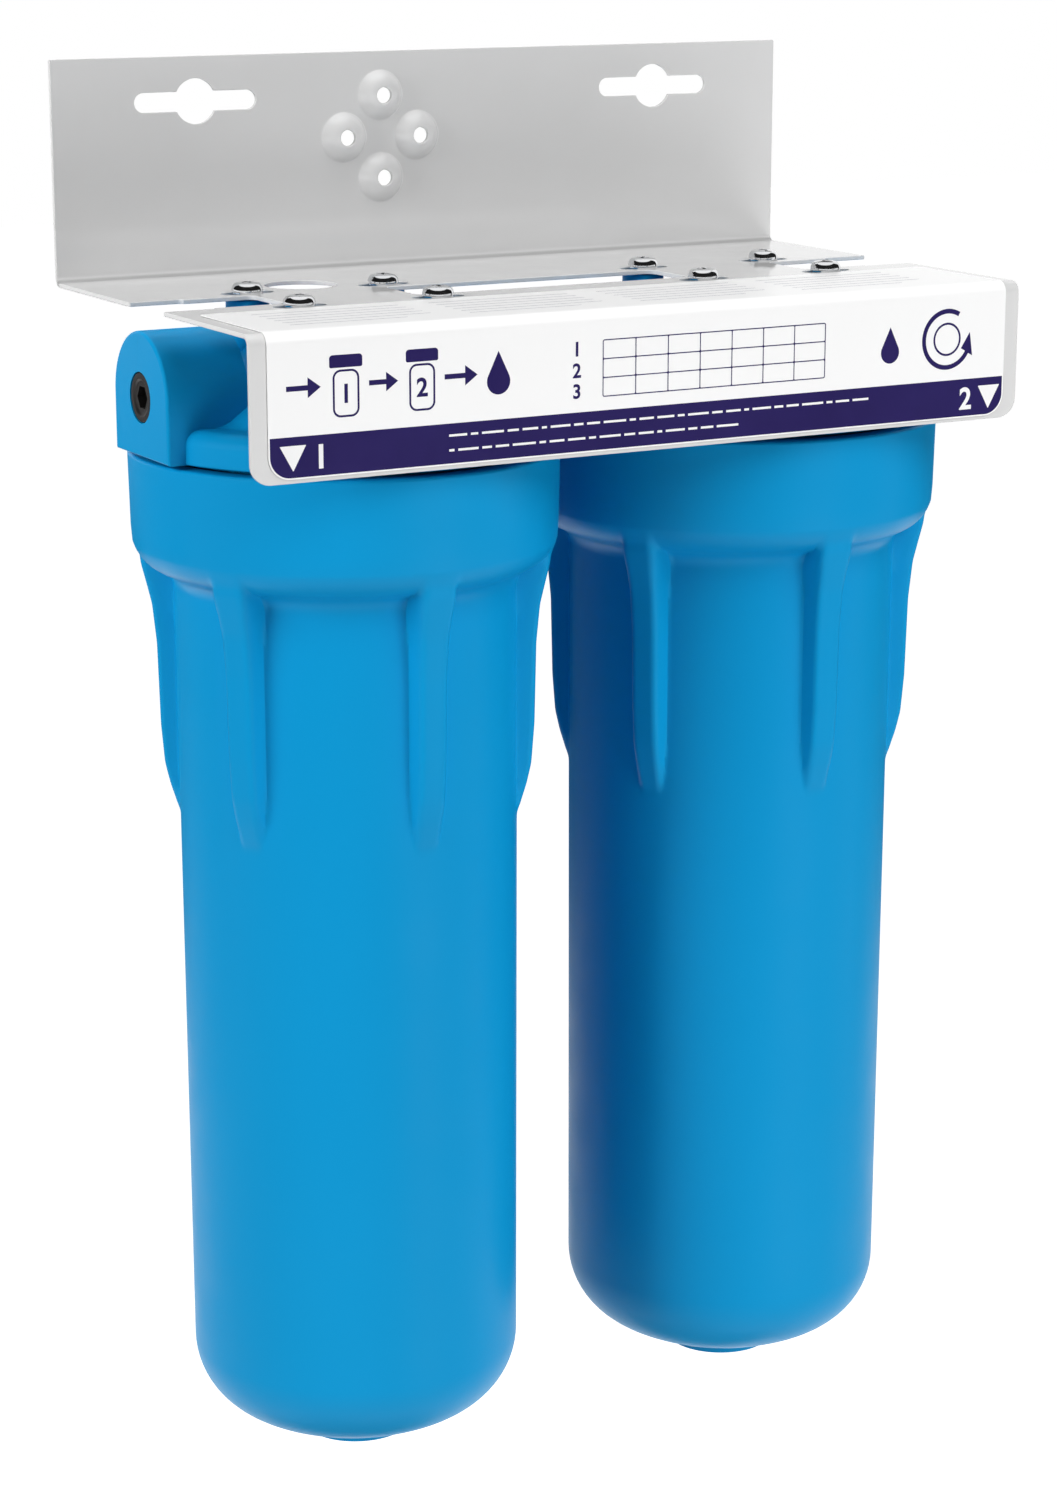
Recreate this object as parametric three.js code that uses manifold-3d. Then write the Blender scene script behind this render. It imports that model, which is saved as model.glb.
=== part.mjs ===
// Under-sink water filter: two filter housings side by side under one wall bracket.
// Millimetres, +Z up, and the front faces -Y.
// The origin is on the wall face, midway between the bracket's two keyholes.

import * as THREE from 'three';
import { mergeVertices } from 'three/addons/utils/BufferGeometryUtils.js';
import Module from 'manifold-3d';

const wasm = await Module();
wasm.setup();

// Fits and facets

const seat = 0.3;                       // gap where one piece rests on or in another
const overrun = 2;                      // how far a cutter runs past a face
const sink = 0.6;                       // how far a joined form starts inside its wall
const largeSides = 30;                  // sides of a housing
const threadSides = 20;
const middleSides = 20;
const smallSides = 12;
const turnedArcSteps = 1;               // an arc gets twice as many steps
const outlineArcSteps = 2;

// Filter housing, in sizes from its own axis and down from the top of the flange

const collarRadius = 58.8;              // the widest part of the sump
const collarWall = 6.2;
const portOverhang = 0.5;               // a port block's face stands out past the collar
const portGap = 5.9;                    // between the facing port blocks of the two caps

const threadDepth = 2;
const threadLead = 6;
const threadCrest = 1.2;                // width of the cap thread's crest
const threadPlay = 0.6;                 // running clearance, both along and across the thread
const skirtWall = 5.4;
const skirtLength = 23.2;               // the cap's skirt below its rim
const capThreadTurns = 2;
const sumpThreadTurns = 2.2;
const threadStart = 2;                  // the cap's lowest crest above the skirt's end
const threadLag = 0.6;                  // turns by which the sump's thread starts lower

const rimInset = 2.3;                   // the cap's rim is this much smaller than the collar
const rimTopDrop = 30.2;
const rimHeight = 9.1;
const rimEdge = 3.6;                    // rounding of the rim's top edge
const rimLand = 5.9;                    // flat ring between that rounding and the cone
const rimGap = 1.2;                     // open gap between the cap's rim and the sump
const crownRadius = 21;
const crownDrop = 10;
const coneWall = 5;                     // wall of the cap's cone, measured straight down

const blockHalfWidth = 17.4;            // arched port block: half width and arch radius
const blockLength = 19.7;
const portAxisDrop = 23.5;
const portRadius = 6.8;
const portDepth = 18.3;
const shaftRadius = 3.9;                // the shaft down from a port's inner end
const ductDrop = 36;                    // the outlet's duct, under the cone to the spigot
const ductBore = 4.2;
const ductWall = 4;

const bossRadius = 5.9;
const screwPitchX = 41;
const screwPitchY = 32.5;
const screwRadius = 1.9;
const screwLength = 13.5;
const screwHoleWall = 0.3;
const screwHoleSpare = 1.5;
const screwHeadRadius = 4.3;
const screwHeadHeight = 3;
const screwHeadSide = 1.3;              // straight side of the head, below its dome
const recessLength = 4.4;
const recessWidth = 0.9;
const recessDepth = 1.5;
const screwTip = 1.6;

// Cartridges

const cartridgeRadius = 31.5;
const cartridgeBore = 14;               // radius of the hole through a cartridge
const cartridgeLength = 248;
const cartridgeTopDrop = 56;
const coreWall = 2;
const wrapThickness = 1.6;
const blockClearance = 0.4;
const endCapThickness = 2.6;
const endCapSkirt = 7;
const endCapWall = 1.4;
const gasketThickness = 3;
const gasketWall = 5;

const spigotPlay = 1.2;                 // radial play of a spigot in the cartridge's bore
const spigotWall = 4.2;
const spigotNose = 7.5;                 // length of the nose inside the cartridge
const spigotChamfer = 1;
const spigotDiscRadius = 18;
const spigotDiscThickness = 3;

// Sump

const sumpWall = 3.5;
const bodyTopRadius = 46.9;
const bodyFootRadius = 46.4;
const collarDraft = 0.7;
const collarHeight = 21.2;              // straight side of the collar
const collarRound = 6.3;                // rounding of the collar's lower edge
const collarUnderside = 7;              // height of the slope from that rounding to the body
const mouthChamfer = 0.8;
const threadFloor = 1;                  // the wide bore ends this far below the cap's skirt
const throatRadius = 46.5;
const throatDrop = 5;
const throatLength = 3.5;
const heelRadius = 21.6;                // rounding between body and bottom
const heelAngle = 61.5 * Math.PI / 180;
const postHeight = 18.4;                // from the sump's floor to the cartridge's seat
const postRadius = 19;
const footRadius = 16.2;
const footHeight = 1.4;

const ribCount = 6;
const ribLength = 78.5;
const ribWidth = 9;
const ribProud = 5.3;
const ribEdge = 1.9;                    // rounding of the rib's crest
const ribOverlap = 4.5;                 // the rib starts this far up inside the collar
const ribDownShares = [0, 0.083, 0.153, 0.229, 0.369, 0.662, 0.803, 0.879, 0.955, 1];
const ribProudShares = [2, 1.85, 1.58, 1.3, 1.08, 0.99, 0.83, 0.57, 0.23, -0.1];
const ribWidthShares = [1.5, 1.3, 1.12, 1.04, 1, 1, 1, 0.92, 0.62, 0.25];
const ribCrestShare = 0.5;

// Seal ring, plugs and nipple

const sealRadius = 1.8;                 // radius of the ring's round section
const sealDrop = 3.6;                   // centre of the ring below the rim
const sealSides = 6;
const sealGrooveWall = 0.2;
const plugLength = 12;
const plugInset = 0.4;
const plugSocketRadius = 3.3;
const plugSocketDepth = 8;
const plugSocketSides = 6;
const nippleReach = 11;                 // how far the nipple goes into each cap
const nippleBore = 4.2;
const nippleNutRadius = 9.2;
const nippleNutSides = 6;
const nippleNutPlay = 0.5;

// Pressure relief valve, behind the first cap's axis

const reliefBehind = 26;
const accessRadius = 10;                // the finger hole in the flange above it
const reliefBossRadius = 8;
const reliefBossDrop = 9;
const reliefWellRadius = 4.7;
const reliefStemRadius = 1.7;
const reliefStemPlay = 0.4;
const reliefHeadHeight = 4.2;
const reliefProud = 2.4;                // the button above its boss
const reliefTravel = 1.6;
const reliefSeatRadius = 5.6;
const reliefSealRadius = 0.8;
const reliefSealMiddle = 2.9;
const reliefDiscRadius = 3.9;
const reliefDiscThickness = 1.6;
const springWire = 0.6;
const springRadius = 3.1;
const springTurns = 2;
const springStepsPerTurn = 12;
const springSides = 6;

// Bracket

const sheet = 1.2;
const bracketWidth = 234.6;
const rearPlateRise = 60.4;
const apronDrop = 37.8;
const bendRadius = 3;                   // outside radius of both bends
const apronCorner = 5.5;
const wallClearance = 4.8;              // from the collar to the wall, and to the apron's front
const pairShift = 1.9;                  // the pair of housings sits this far right of the middle

const keyholeRise = 48;
const keyholeSpacing = 148.6;
const keyholeLength = 36.9;
const keyholeHeight = 5.4;
const keyholeEyeRadius = 6.3;

const dimpleCount = 4;
const dimpleShift = -16.9;
const dimpleRise = 36.4;
const dimpleOffset = 11.65;             // from the middle of the four to each dimple
const dimpleRadius = 7.5;
const dimpleHeight = 3;
const dimpleCrownRadius = 3.7;
const dimpleHoleRadius = 2.35;
const dimpleShoulderShare = 0.72;       // of the way out, where the slope turns
const dimpleShoulderHeightShare = 0.55;

const notchWidth = 20;
const notchMouthWidth = 22.4;
const notchMouthLength = 14.8;
const notchCorner = 2.5;
const bridgeWidth = 39;                 // flange left standing over each cap
const screwSlotLength = 15.2;
const screwSlotWidth = 5.2;

// Label

const labelThickness = 0.25;
const labelGlue = 0.1;
const labelMargin = 4.7;
const labelHem = 1.1;
const labelReach = 40.5;                // how far the label runs back on the flange
const labelCorner = 6;

// Worked out from the sizes above

const portReach = collarRadius + portOverhang;
const stageSpacing = 2 * portReach + portGap;
const bracketDepth = 2 * (collarRadius + wallClearance);
const axisY = -bracketDepth / 2;
const flangeTop = -keyholeRise;
const boreRadius = collarRadius - collarWall;
const capThreadRadius = boreRadius - threadPlay;
const skirtRadius = capThreadRadius - threadDepth;
const skirtInner = skirtRadius - skirtWall;
const sumpThreadRadius = skirtRadius + threadPlay;
const rimRadius = collarRadius - rimInset;
const rimBottom = -rimTopDrop - rimHeight;
const skirtBottom = rimBottom - skirtLength;
const sumpTop = rimBottom - rimGap;
const coneFoot = rimRadius - rimEdge - rimLand;
const coneSlope = (rimTopDrop - crownDrop) / (coneFoot - crownRadius);
const cartridgeTop = -cartridgeTopDrop;
const cartridgeBottom = cartridgeTop - cartridgeLength;
const discBottom = cartridgeTop + seat;
const noseRadius = cartridgeBore - spigotPlay;
const shaftReach = portReach - blockLength + shaftRadius;
const postTop = cartridgeBottom - seat;
const floorHeight = postTop - postHeight;
const bottomRadius = heelRadius + (bodyFootRadius - heelRadius) / Math.cos(heelAngle);
const bottomCentre = floorHeight - sumpWall + bottomRadius;
const heelHeight = bottomCentre - (bodyFootRadius - heelRadius) * Math.tan(heelAngle);
const sealHeight = rimBottom - sealDrop;
const sealMiddle = boreRadius - 2 * seat - sealRadius;
const reliefTop = -reliefBossDrop + reliefProud;
const springSolidHeight = (springTurns + 1) * springWire;
const reliefWellFloor = reliefTop - reliefHeadHeight - reliefTravel - springSolidHeight - 2 * seat;
const reliefSeat = coneHeight(reliefBehind + reliefSeatRadius) - coneWall - sink;

// Materials

function finish(color, roughness, metalness = 0) {
  return new THREE.MeshStandardMaterial({ color, roughness, metalness });
}
const bluePlastic = finish(0x1e94d0, 0.38);
const paintedSteel = finish(0xd9d9d9, 0.35, 0.1);
const labelWhite = finish(0xf2f2f2, 0.4);
const chrome = finish(0xdddddd, 0.12, 1);
const blackPlastic = finish(0x282626, 0.5);
const blackRubber = finish(0x1b1b1b, 0.8);
const spunFibre = finish(0xf4f2ec, 0.95);
const whitePlastic = finish(0xf0f0ee, 0.5);
const carbonBlack = finish(0x1f1f20, 0.9);
const meshWhite = finish(0xe4e6e4, 0.8);
const redPlastic = finish(0xc8201c, 0.4);
const springSteel = finish(0xb9bcc0, 0.3, 1);

// Solids

// A closed geometry as a solid: shared corners merged, slivers dropped, faces turned outwards.
function solidOf(geometry) {
  const shell = geometry.clone();
  shell.deleteAttribute('normal');
  shell.deleteAttribute('uv');
  const merged = mergeVertices(shell);
  const places = merged.attributes.position.array;
  const index = merged.index.array;
  const faces = [];
  let sixVolumes = 0;
  for (let i = 0; i < index.length; i += 3) {
    const [a, b, c] = [index[i], index[i + 1], index[i + 2]];
    if (a === b || b === c || c === a) continue;
    faces.push([a, b, c]);
    const corner = (n) => new THREE.Vector3().fromArray(places, 3 * n);
    sixVolumes += corner(a).dot(corner(b).cross(corner(c)));
  }
  const outward = sixVolumes > 0 ? faces : faces.map(([a, b, c]) => [a, c, b]);
  const vertProperties = Float32Array.from(places);
  const triVerts = Uint32Array.from(outward.flat());
  return new wasm.Manifold(new wasm.Mesh({ numProp: 3, vertProperties, triVerts }));
}

function joined(first, ...others) {
  return others.reduce((sum, other) => sum.add(other), first);
}

function cutBy(first, ...cutters) {
  return cutters.reduce((rest, cutter) => rest.subtract(cutter), first);
}

function geometryOf(solid) {
  const { vertProperties, triVerts, numProp } = solid.getMesh();
  const geometry = new THREE.BufferGeometry();
  geometry.setAttribute('position', new THREE.BufferAttribute(Float32Array.from(vertProperties), numProp));
  geometry.setIndex(new THREE.BufferAttribute(Uint32Array.from(triVerts), 1));
  geometry.computeVertexNormals();
  return geometry;
}

// A path of (radius, height) turned about the Z axis.
function turned(path, sides) {
  const geometry = new THREE.LatheGeometry(path.getPoints(turnedArcSteps), sides);
  return geometry.rotateX(Math.PI / 2);
}

function pathThrough(points) {
  const path = new THREE.Path();
  path.moveTo(...points[0]);
  for (const point of points.slice(1)) path.lineTo(...point);
  return path;
}

// Upright cylinder between two heights.
function post(radius, low, high, sides, x = 0, y = 0) {
  const geometry = new THREE.CylinderGeometry(radius, radius, high - low, sides);
  geometry.rotateX(Math.PI / 2);
  return solidOf(geometry.translate(x, y, (low + high) / 2));
}

// Cylinder along X between two places.
function bar(radius, from, to, z, sides) {
  const geometry = new THREE.CylinderGeometry(radius, radius, Math.abs(to - from), sides);
  geometry.rotateZ(Math.PI / 2);
  return solidOf(geometry.translate((from + to) / 2, 0, z));
}

// An outline drawn in (y, z), pulled along X from one place to another.
function alongX(shape, from, to) {
  const options = { depth: Math.abs(to - from), bevelEnabled: false, curveSegments: outlineArcSteps };
  const geometry = new THREE.ExtrudeGeometry(shape, options);
  const turn = new THREE.Matrix4().makeBasis(
    new THREE.Vector3(0, 1, 0), new THREE.Vector3(0, 0, 1), new THREE.Vector3(1, 0, 0));
  geometry.applyMatrix4(turn);
  return solidOf(geometry.translate(Math.min(from, to), 0, 0));
}

// An outline drawn in (x, z), pulled towards the front from one place to another.
function towardsFront(shape, from, to) {
  const options = { depth: Math.abs(to - from), bevelEnabled: false, curveSegments: outlineArcSteps };
  const geometry = new THREE.ExtrudeGeometry(shape, options);
  geometry.rotateX(Math.PI / 2);
  return solidOf(geometry.translate(0, Math.max(from, to), 0));
}

// An outline drawn in (x, y), pulled straight up.
function upright(shape, low, high) {
  const options = { depth: high - low, bevelEnabled: false, curveSegments: outlineArcSteps };
  return solidOf(new THREE.ExtrudeGeometry(shape, options).translate(0, 0, low));
}

// A rectangle about a centre with rounded corners.
function roundedOutline(x, y, width, height, radius) {
  const corner = Math.min(radius, width / 2, height / 2);
  const [left, right] = [x - width / 2, x + width / 2];
  const [low, high] = [y - height / 2, y + height / 2];
  const shape = new THREE.Shape();
  shape.absarc(right - corner, low + corner, corner, -Math.PI / 2, 0, false);
  shape.absarc(right - corner, high - corner, corner, 0, Math.PI / 2, false);
  shape.absarc(left + corner, high - corner, corner, Math.PI / 2, Math.PI, false);
  shape.absarc(left + corner, low + corner, corner, Math.PI, 3 * Math.PI / 2, false);
  return shape;
}

// A closed skin over rings of corners, capped at both ends.
function loft(rings) {
  const count = rings[0].length;
  const index = [];
  for (let r = 0; r + 1 < rings.length; r += 1) {
    for (let i = 0; i < count; i += 1) {
      const next = (i + 1) % count;
      const [a, b] = [r * count + i, r * count + next];
      index.push(a, b, a + count, b, b + count, a + count);
    }
  }
  const last = (rings.length - 1) * count;
  for (let i = 1; i + 1 < count; i += 1) {
    index.push(0, i + 1, i);
    index.push(last, last + i, last + i + 1);
  }
  const geometry = new THREE.BufferGeometry();
  geometry.setAttribute('position', new THREE.Float32BufferAttribute(rings.flat(2), 3));
  geometry.setIndex(index);
  return solidOf(geometry);
}

// A screw thread's ridge: it narrows from the wall to its crest as it climbs.
function threadRidge(wallRadius, crestRadius, crestWidth, turns, startHeight, startTurn) {
  const steps = Math.round(turns * threadSides);
  const outwards = Math.sign(crestRadius - wallRadius);
  const facet = outwards > 0 ? 1 : 1 / Math.cos(Math.PI / threadSides);
  const crest = crestRadius * facet;
  const root = (wallRadius - outwards * sink) * facet;
  const rootWidth = crestWidth + Math.abs(crest - root);
  const rings = [];
  for (let i = 0; i <= steps; i += 1) {
    const angle = 2 * Math.PI * (startTurn + i / threadSides);
    const height = startHeight + threadLead * i / threadSides;
    const corner = (radius, rise) => [radius * Math.cos(angle), radius * Math.sin(angle), height + rise];
    rings.push([
      corner(root, -rootWidth / 2),
      corner(crest, -crestWidth / 2),
      corner(crest, crestWidth / 2),
      corner(root, rootWidth / 2),
    ]);
  }
  return loft(rings);
}

// A ring with a round section.
function roundRing(middle, section, height, sides) {
  const path = new THREE.Path();
  path.absarc(middle, height, section, 0, 2 * Math.PI, false);
  const points = path.getPoints(sealSides / 2);
  return solidOf(new THREE.LatheGeometry(points, sides).rotateX(Math.PI / 2));
}

// Bracket

function bracketProfile() {
  const rear = [-bendRadius, bendRadius - sheet];
  const front = [bendRadius - bracketDepth, -bendRadius];
  const inside = bendRadius - sheet;
  const shape = new THREE.Shape();
  shape.moveTo(-sheet, rearPlateRise);
  shape.lineTo(0, rearPlateRise);
  shape.absarc(...rear, bendRadius, 0, -Math.PI / 2, true);
  shape.absarc(...front, inside, Math.PI / 2, Math.PI, false);
  shape.lineTo(sheet - bracketDepth, -apronDrop);
  shape.lineTo(-bracketDepth, -apronDrop);
  shape.absarc(...front, bendRadius, Math.PI, Math.PI / 2, true);
  shape.absarc(...rear, inside, 3 * Math.PI / 2, 2 * Math.PI, false);
  return shape;
}

function frontOutline(halfWidth, low, high, radius) {
  const shape = new THREE.Shape();
  shape.moveTo(halfWidth, high);
  shape.lineTo(-halfWidth, high);
  shape.absarc(radius - halfWidth, low + radius, radius, Math.PI, 3 * Math.PI / 2, false);
  shape.absarc(halfWidth - radius, low + radius, radius, 3 * Math.PI / 2, 2 * Math.PI, false);
  return shape;
}

function keyholeCutter(x) {
  const slot = roundedOutline(x, keyholeRise, keyholeLength, keyholeHeight, keyholeHeight / 2);
  const eye = roundedOutline(x, keyholeRise, 2 * keyholeEyeRadius, 2 * keyholeEyeRadius, keyholeEyeRadius);
  const [back, ahead] = [overrun, -sheet - overrun];
  return joined(towardsFront(slot, back, ahead), towardsFront(eye, back, ahead));
}

// A dimple's dome, pressed towards the front from a given plane.
function dimpleDome(x, z, plane, thinner, backwards) {
  const radius = dimpleRadius - thinner;
  const crown = dimpleCrownRadius - thinner / 2;
  const path = pathThrough([
    [0, -backwards],
    [radius, -backwards],
    [radius, 0],
    [crown + (radius - crown) * dimpleShoulderShare, dimpleHeight * (1 - dimpleShoulderHeightShare)],
    [crown, dimpleHeight],
    [0, dimpleHeight],
  ]);
  const geometry = new THREE.LatheGeometry(path.getPoints(), smallSides);
  geometry.rotateX(Math.PI);
  return solidOf(geometry.translate(x, plane, z));
}

function dimpleHole(x, z) {
  const geometry = new THREE.CylinderGeometry(
    dimpleHoleRadius, dimpleHoleRadius, 2 * (dimpleHeight + sheet + overrun), smallSides);
  return solidOf(geometry.translate(x, 0, z));
}

function dimplePlaces() {
  const places = [];
  for (let i = 0; i < dimpleCount; i += 1) {
    const angle = 2 * Math.PI * i / dimpleCount;
    const x = dimpleShift + dimpleOffset * Math.cos(angle);
    places.push([x, dimpleRise + dimpleOffset * Math.sin(angle)]);
  }
  return places;
}

function stagePlaces() {
  return [-1, 1].map((side) => pairShift + side * stageSpacing / 2);
}

function screwPlaces() {
  const places = [];
  for (const sideY of [1, -1]) {
    for (const sideX of [-1, 1]) places.push([sideX * screwPitchX / 2, sideY * screwPitchY / 2]);
  }
  return places;
}

function flangeCutters() {
  const [low, high] = [-sheet - overrun, overrun];
  const bridgeEnd = (stageSpacing - bridgeWidth) / 2;
  const cutters = [];
  const cut = (x, y, width, depth, radius) => {
    cutters.push(upright(roundedOutline(x, y, width, depth, radius), low, high));
  };
  cut(0, axisY, 2 * bridgeEnd, notchWidth, notchCorner);
  for (const side of [-1, 1]) {
    const inner = bridgeEnd + bridgeWidth;
    const outer = bracketWidth / 2 + overrun;
    cut(side * (inner + outer) / 2, axisY, outer - inner, notchWidth, notchCorner);
    const mouth = notchMouthLength + overrun;
    cut(side * (outer - mouth / 2), axisY, mouth, notchMouthWidth, notchCorner / 2);
  }
  for (const stageX of stagePlaces()) {
    for (const [x, y] of screwPlaces()) {
      cut(stageX + x, axisY + y, screwSlotLength, screwSlotWidth, screwSlotWidth / 2);
    }
  }
  cutters.push(post(accessRadius, low, high, middleSides, stagePlaces()[0], axisY + reliefBehind));
  return cutters;
}

function bracketSolid() {
  const halfWidth = bracketWidth / 2;
  const outline = frontOutline(halfWidth, -apronDrop, rearPlateRise, apronCorner);
  const folded = alongX(bracketProfile(), -halfWidth, halfWidth)
    .intersect(towardsFront(outline, overrun, -bracketDepth - overrun));
  const domes = dimplePlaces().map(([x, z]) => dimpleDome(x, z, -sheet, 0, sheet / 2));
  const hollows = dimplePlaces().map(([x, z]) => dimpleDome(x, z, 0, sheet, overrun));
  const holes = dimplePlaces().map(([x, z]) => dimpleHole(x, z));
  const keyholes = [-1, 1].map((side) => keyholeCutter(side * keyholeSpacing / 2));
  return cutBy(joined(folded, ...domes), ...hollows, ...holes, ...keyholes, ...flangeCutters());
}

// Label

function labelSolid() {
  const front = [bendRadius - bracketDepth, -bendRadius];
  const inner = bendRadius + labelGlue;
  const outer = inner + labelThickness;
  const low = labelHem - apronDrop;
  const rearEdge = labelReach - bracketDepth;
  const shape = new THREE.Shape();
  shape.moveTo(rearEdge, labelGlue + labelThickness);
  shape.lineTo(rearEdge, labelGlue);
  shape.absarc(...front, inner, Math.PI / 2, Math.PI, false);
  shape.lineTo(-bracketDepth - labelGlue, low);
  shape.lineTo(-bracketDepth - labelGlue - labelThickness, low);
  shape.absarc(...front, outer, Math.PI, Math.PI / 2, true);
  const halfWidth = bracketWidth / 2 - labelMargin;
  const outline = frontOutline(halfWidth, low, labelGlue + labelThickness, labelCorner);
  return alongX(shape, -halfWidth, halfWidth)
    .intersect(towardsFront(outline, overrun, -bracketDepth - overrun));
}

// Cap

function coneHeight(radius) {
  return -rimTopDrop + (coneFoot - radius) * coneSlope;
}

function capBody() {
  const path = new THREE.Path();
  path.moveTo(0, skirtBottom);
  path.lineTo(skirtRadius, skirtBottom);
  path.lineTo(skirtRadius, rimBottom);
  path.lineTo(rimRadius, rimBottom);
  path.absarc(rimRadius - rimEdge, -rimTopDrop - rimEdge, rimEdge, 0, Math.PI / 2, false);
  path.lineTo(coneFoot, -rimTopDrop);
  path.lineTo(crownRadius, -crownDrop);
  path.lineTo(0, -crownDrop);
  return solidOf(turned(path, largeSides));
}

function capCavity() {
  return solidOf(turned(pathThrough([
    [0, skirtBottom - overrun],
    [skirtInner, skirtBottom - overrun],
    [skirtInner, coneHeight(skirtInner) - coneWall],
    [crownRadius, -crownDrop - coneWall],
    [0, -crownDrop - coneWall],
  ]), largeSides));
}

function portBlock(side) {
  const shape = new THREE.Shape();
  shape.moveTo(-blockHalfWidth, rimBottom);
  shape.lineTo(blockHalfWidth, rimBottom);
  shape.absarc(0, -portAxisDrop, blockHalfWidth, 0, Math.PI / 2, false);
  shape.absarc(0, -portAxisDrop, blockHalfWidth, Math.PI / 2, Math.PI, false);
  const block = alongX(shape, side * (portReach - blockLength), side * portReach);
  return cutBy(block, post(skirtInner, rimBottom - overrun, coneHeight(skirtInner) - coneWall, largeSides));
}

// A port's bore, and the shaft that leads down from its inner end.
function portHoles(side) {
  const bore = bar(
    portRadius, side * (portReach - portDepth), side * (portReach + overrun), -portAxisDrop, middleSides);
  return joined(bore, post(shaftRadius, -ductDrop, -portAxisDrop, smallSides, side * shaftReach));
}

function spigot() {
  return solidOf(turned(pathThrough([
    [0, discBottom - spigotNose],
    [noseRadius - spigotChamfer, discBottom - spigotNose],
    [noseRadius, discBottom - spigotNose + spigotChamfer],
    [noseRadius, discBottom],
    [spigotDiscRadius, discBottom],
    [spigotDiscRadius, discBottom + spigotDiscThickness],
    [noseRadius, discBottom + spigotDiscThickness],
    [noseRadius, -crownDrop - coneWall + sink],
    [0, -crownDrop - coneWall + sink],
  ]), middleSides));
}

function sealGroove() {
  const low = sealHeight - sealRadius - seat;
  const high = sealHeight + sealRadius + seat;
  const inner = sealMiddle - sealRadius - sealGrooveWall;
  return cutBy(
    post(skirtRadius + overrun, low, high, largeSides),
    post(inner, low - overrun, high + overrun, largeSides));
}

function capSolid(hasRelief) {
  const bosses = screwPlaces().map(([x, y]) => post(
    bossRadius, coneHeight(skirtInner) - sink, -sheet - seat, smallSides, x, y));
  const spareDepth = -screwLength - screwHoleSpare;
  const holes = screwPlaces().map(([x, y]) => post(
    screwRadius + screwHoleWall, spareDepth, overrun, smallSides, x, y));
  const outside = joined(capBody(), portBlock(-1), portBlock(1));
  const cavity = capCavity();
  const bossTops = bosses.map((boss) => cutBy(boss, cavity));
  let cap = joined(cutBy(outside, cavity), ...bossTops);
  const duct = bar(ductBore + ductWall, 0, skirtInner + sink, -ductDrop, middleSides);
  cap = joined(cap, spigot(), duct);
  if (hasRelief) {
    const roof = -crownDrop - coneWall;
    const relief = post(reliefBossRadius, roof, -reliefBossDrop, middleSides, 0, reliefBehind);
    const seatBoss = post(reliefSeatRadius, reliefSeat, roof + sink, smallSides, 0, reliefBehind);
    cap = joined(cap, cutBy(relief, cavity), seatBoss);
  }
  const spigotBore = post(
    noseRadius - spigotWall, discBottom - spigotNose - overrun, -crownDrop - coneWall, middleSides);
  const ductHole = bar(ductBore, 0, shaftReach, -ductDrop, smallSides);
  cap = cutBy(cap, spigotBore, ductHole, portHoles(-1), portHoles(1), ...holes, sealGroove());
  if (hasRelief) {
    const well = post(
      reliefWellRadius, reliefWellFloor, -reliefBossDrop + overrun, smallSides, 0, reliefBehind);
    const stemHole = post(
      reliefStemRadius + reliefStemPlay, reliefSeat - overrun, 0, smallSides, 0, reliefBehind);
    cap = cutBy(cap, well, stemHole);
  }
  const start = skirtBottom + threadStart;
  return joined(cap, threadRidge(skirtRadius, capThreadRadius, threadCrest, capThreadTurns, start, 0));
}

// Sump

function sumpProfile() {
  const collarLow = sumpTop - collarHeight;
  const lowRadius = collarRadius - collarDraft;
  const roundEnd = [lowRadius - collarRound, collarLow - collarRound];
  const bodyTop = roundEnd[1] - collarUnderside;
  const footTop = bottomCentre - Math.sqrt(bottomRadius ** 2 - footRadius ** 2);
  const footBottom = floorHeight - sumpWall - footHeight;
  const innerHeel = heelRadius - sumpWall;
  const innerBottom = bottomRadius - sumpWall;
  const bodyInner = bodyTopRadius - sumpWall;
  const boreFloor = skirtBottom - threadFloor;
  const path = new THREE.Path();
  path.moveTo(0, footBottom);
  path.lineTo(footRadius, footBottom);
  path.lineTo(footRadius, footTop);
  path.absarc(0, bottomCentre, bottomRadius, -Math.acos(footRadius / bottomRadius), -heelAngle, false);
  path.absarc(bodyFootRadius - heelRadius, heelHeight, heelRadius, -heelAngle, 0, false);
  path.lineTo(bodyTopRadius, bodyTop);
  path.lineTo(bodyTopRadius + sink, bodyTop + collarUnderside / 2);
  path.lineTo(...roundEnd);
  path.absarc(roundEnd[0], collarLow, collarRound, -Math.PI / 2, 0, false);
  path.lineTo(collarRadius, sumpTop - mouthChamfer);
  path.lineTo(collarRadius - mouthChamfer, sumpTop);
  path.lineTo(boreRadius + mouthChamfer, sumpTop);
  path.lineTo(boreRadius, sumpTop - mouthChamfer);
  path.lineTo(boreRadius, boreFloor);
  path.lineTo(throatRadius, boreFloor - throatDrop);
  path.lineTo(bodyInner, boreFloor - throatDrop - throatLength);
  path.absarc(bodyFootRadius - heelRadius, heelHeight, innerHeel, 0, -heelAngle, true);
  path.absarc(0, bottomCentre, innerBottom, -heelAngle, -Math.acos(postRadius / innerBottom), true);
  path.lineTo(postRadius, postTop);
  path.lineTo(noseRadius, postTop);
  path.lineTo(noseRadius, postTop + spigotNose - spigotChamfer);
  path.lineTo(noseRadius - spigotChamfer, postTop + spigotNose);
  path.lineTo(noseRadius - spigotWall, postTop + spigotNose);
  path.lineTo(noseRadius - spigotWall, floorHeight + sumpWall);
  path.lineTo(0, floorHeight + sumpWall);
  return path;
}

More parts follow.
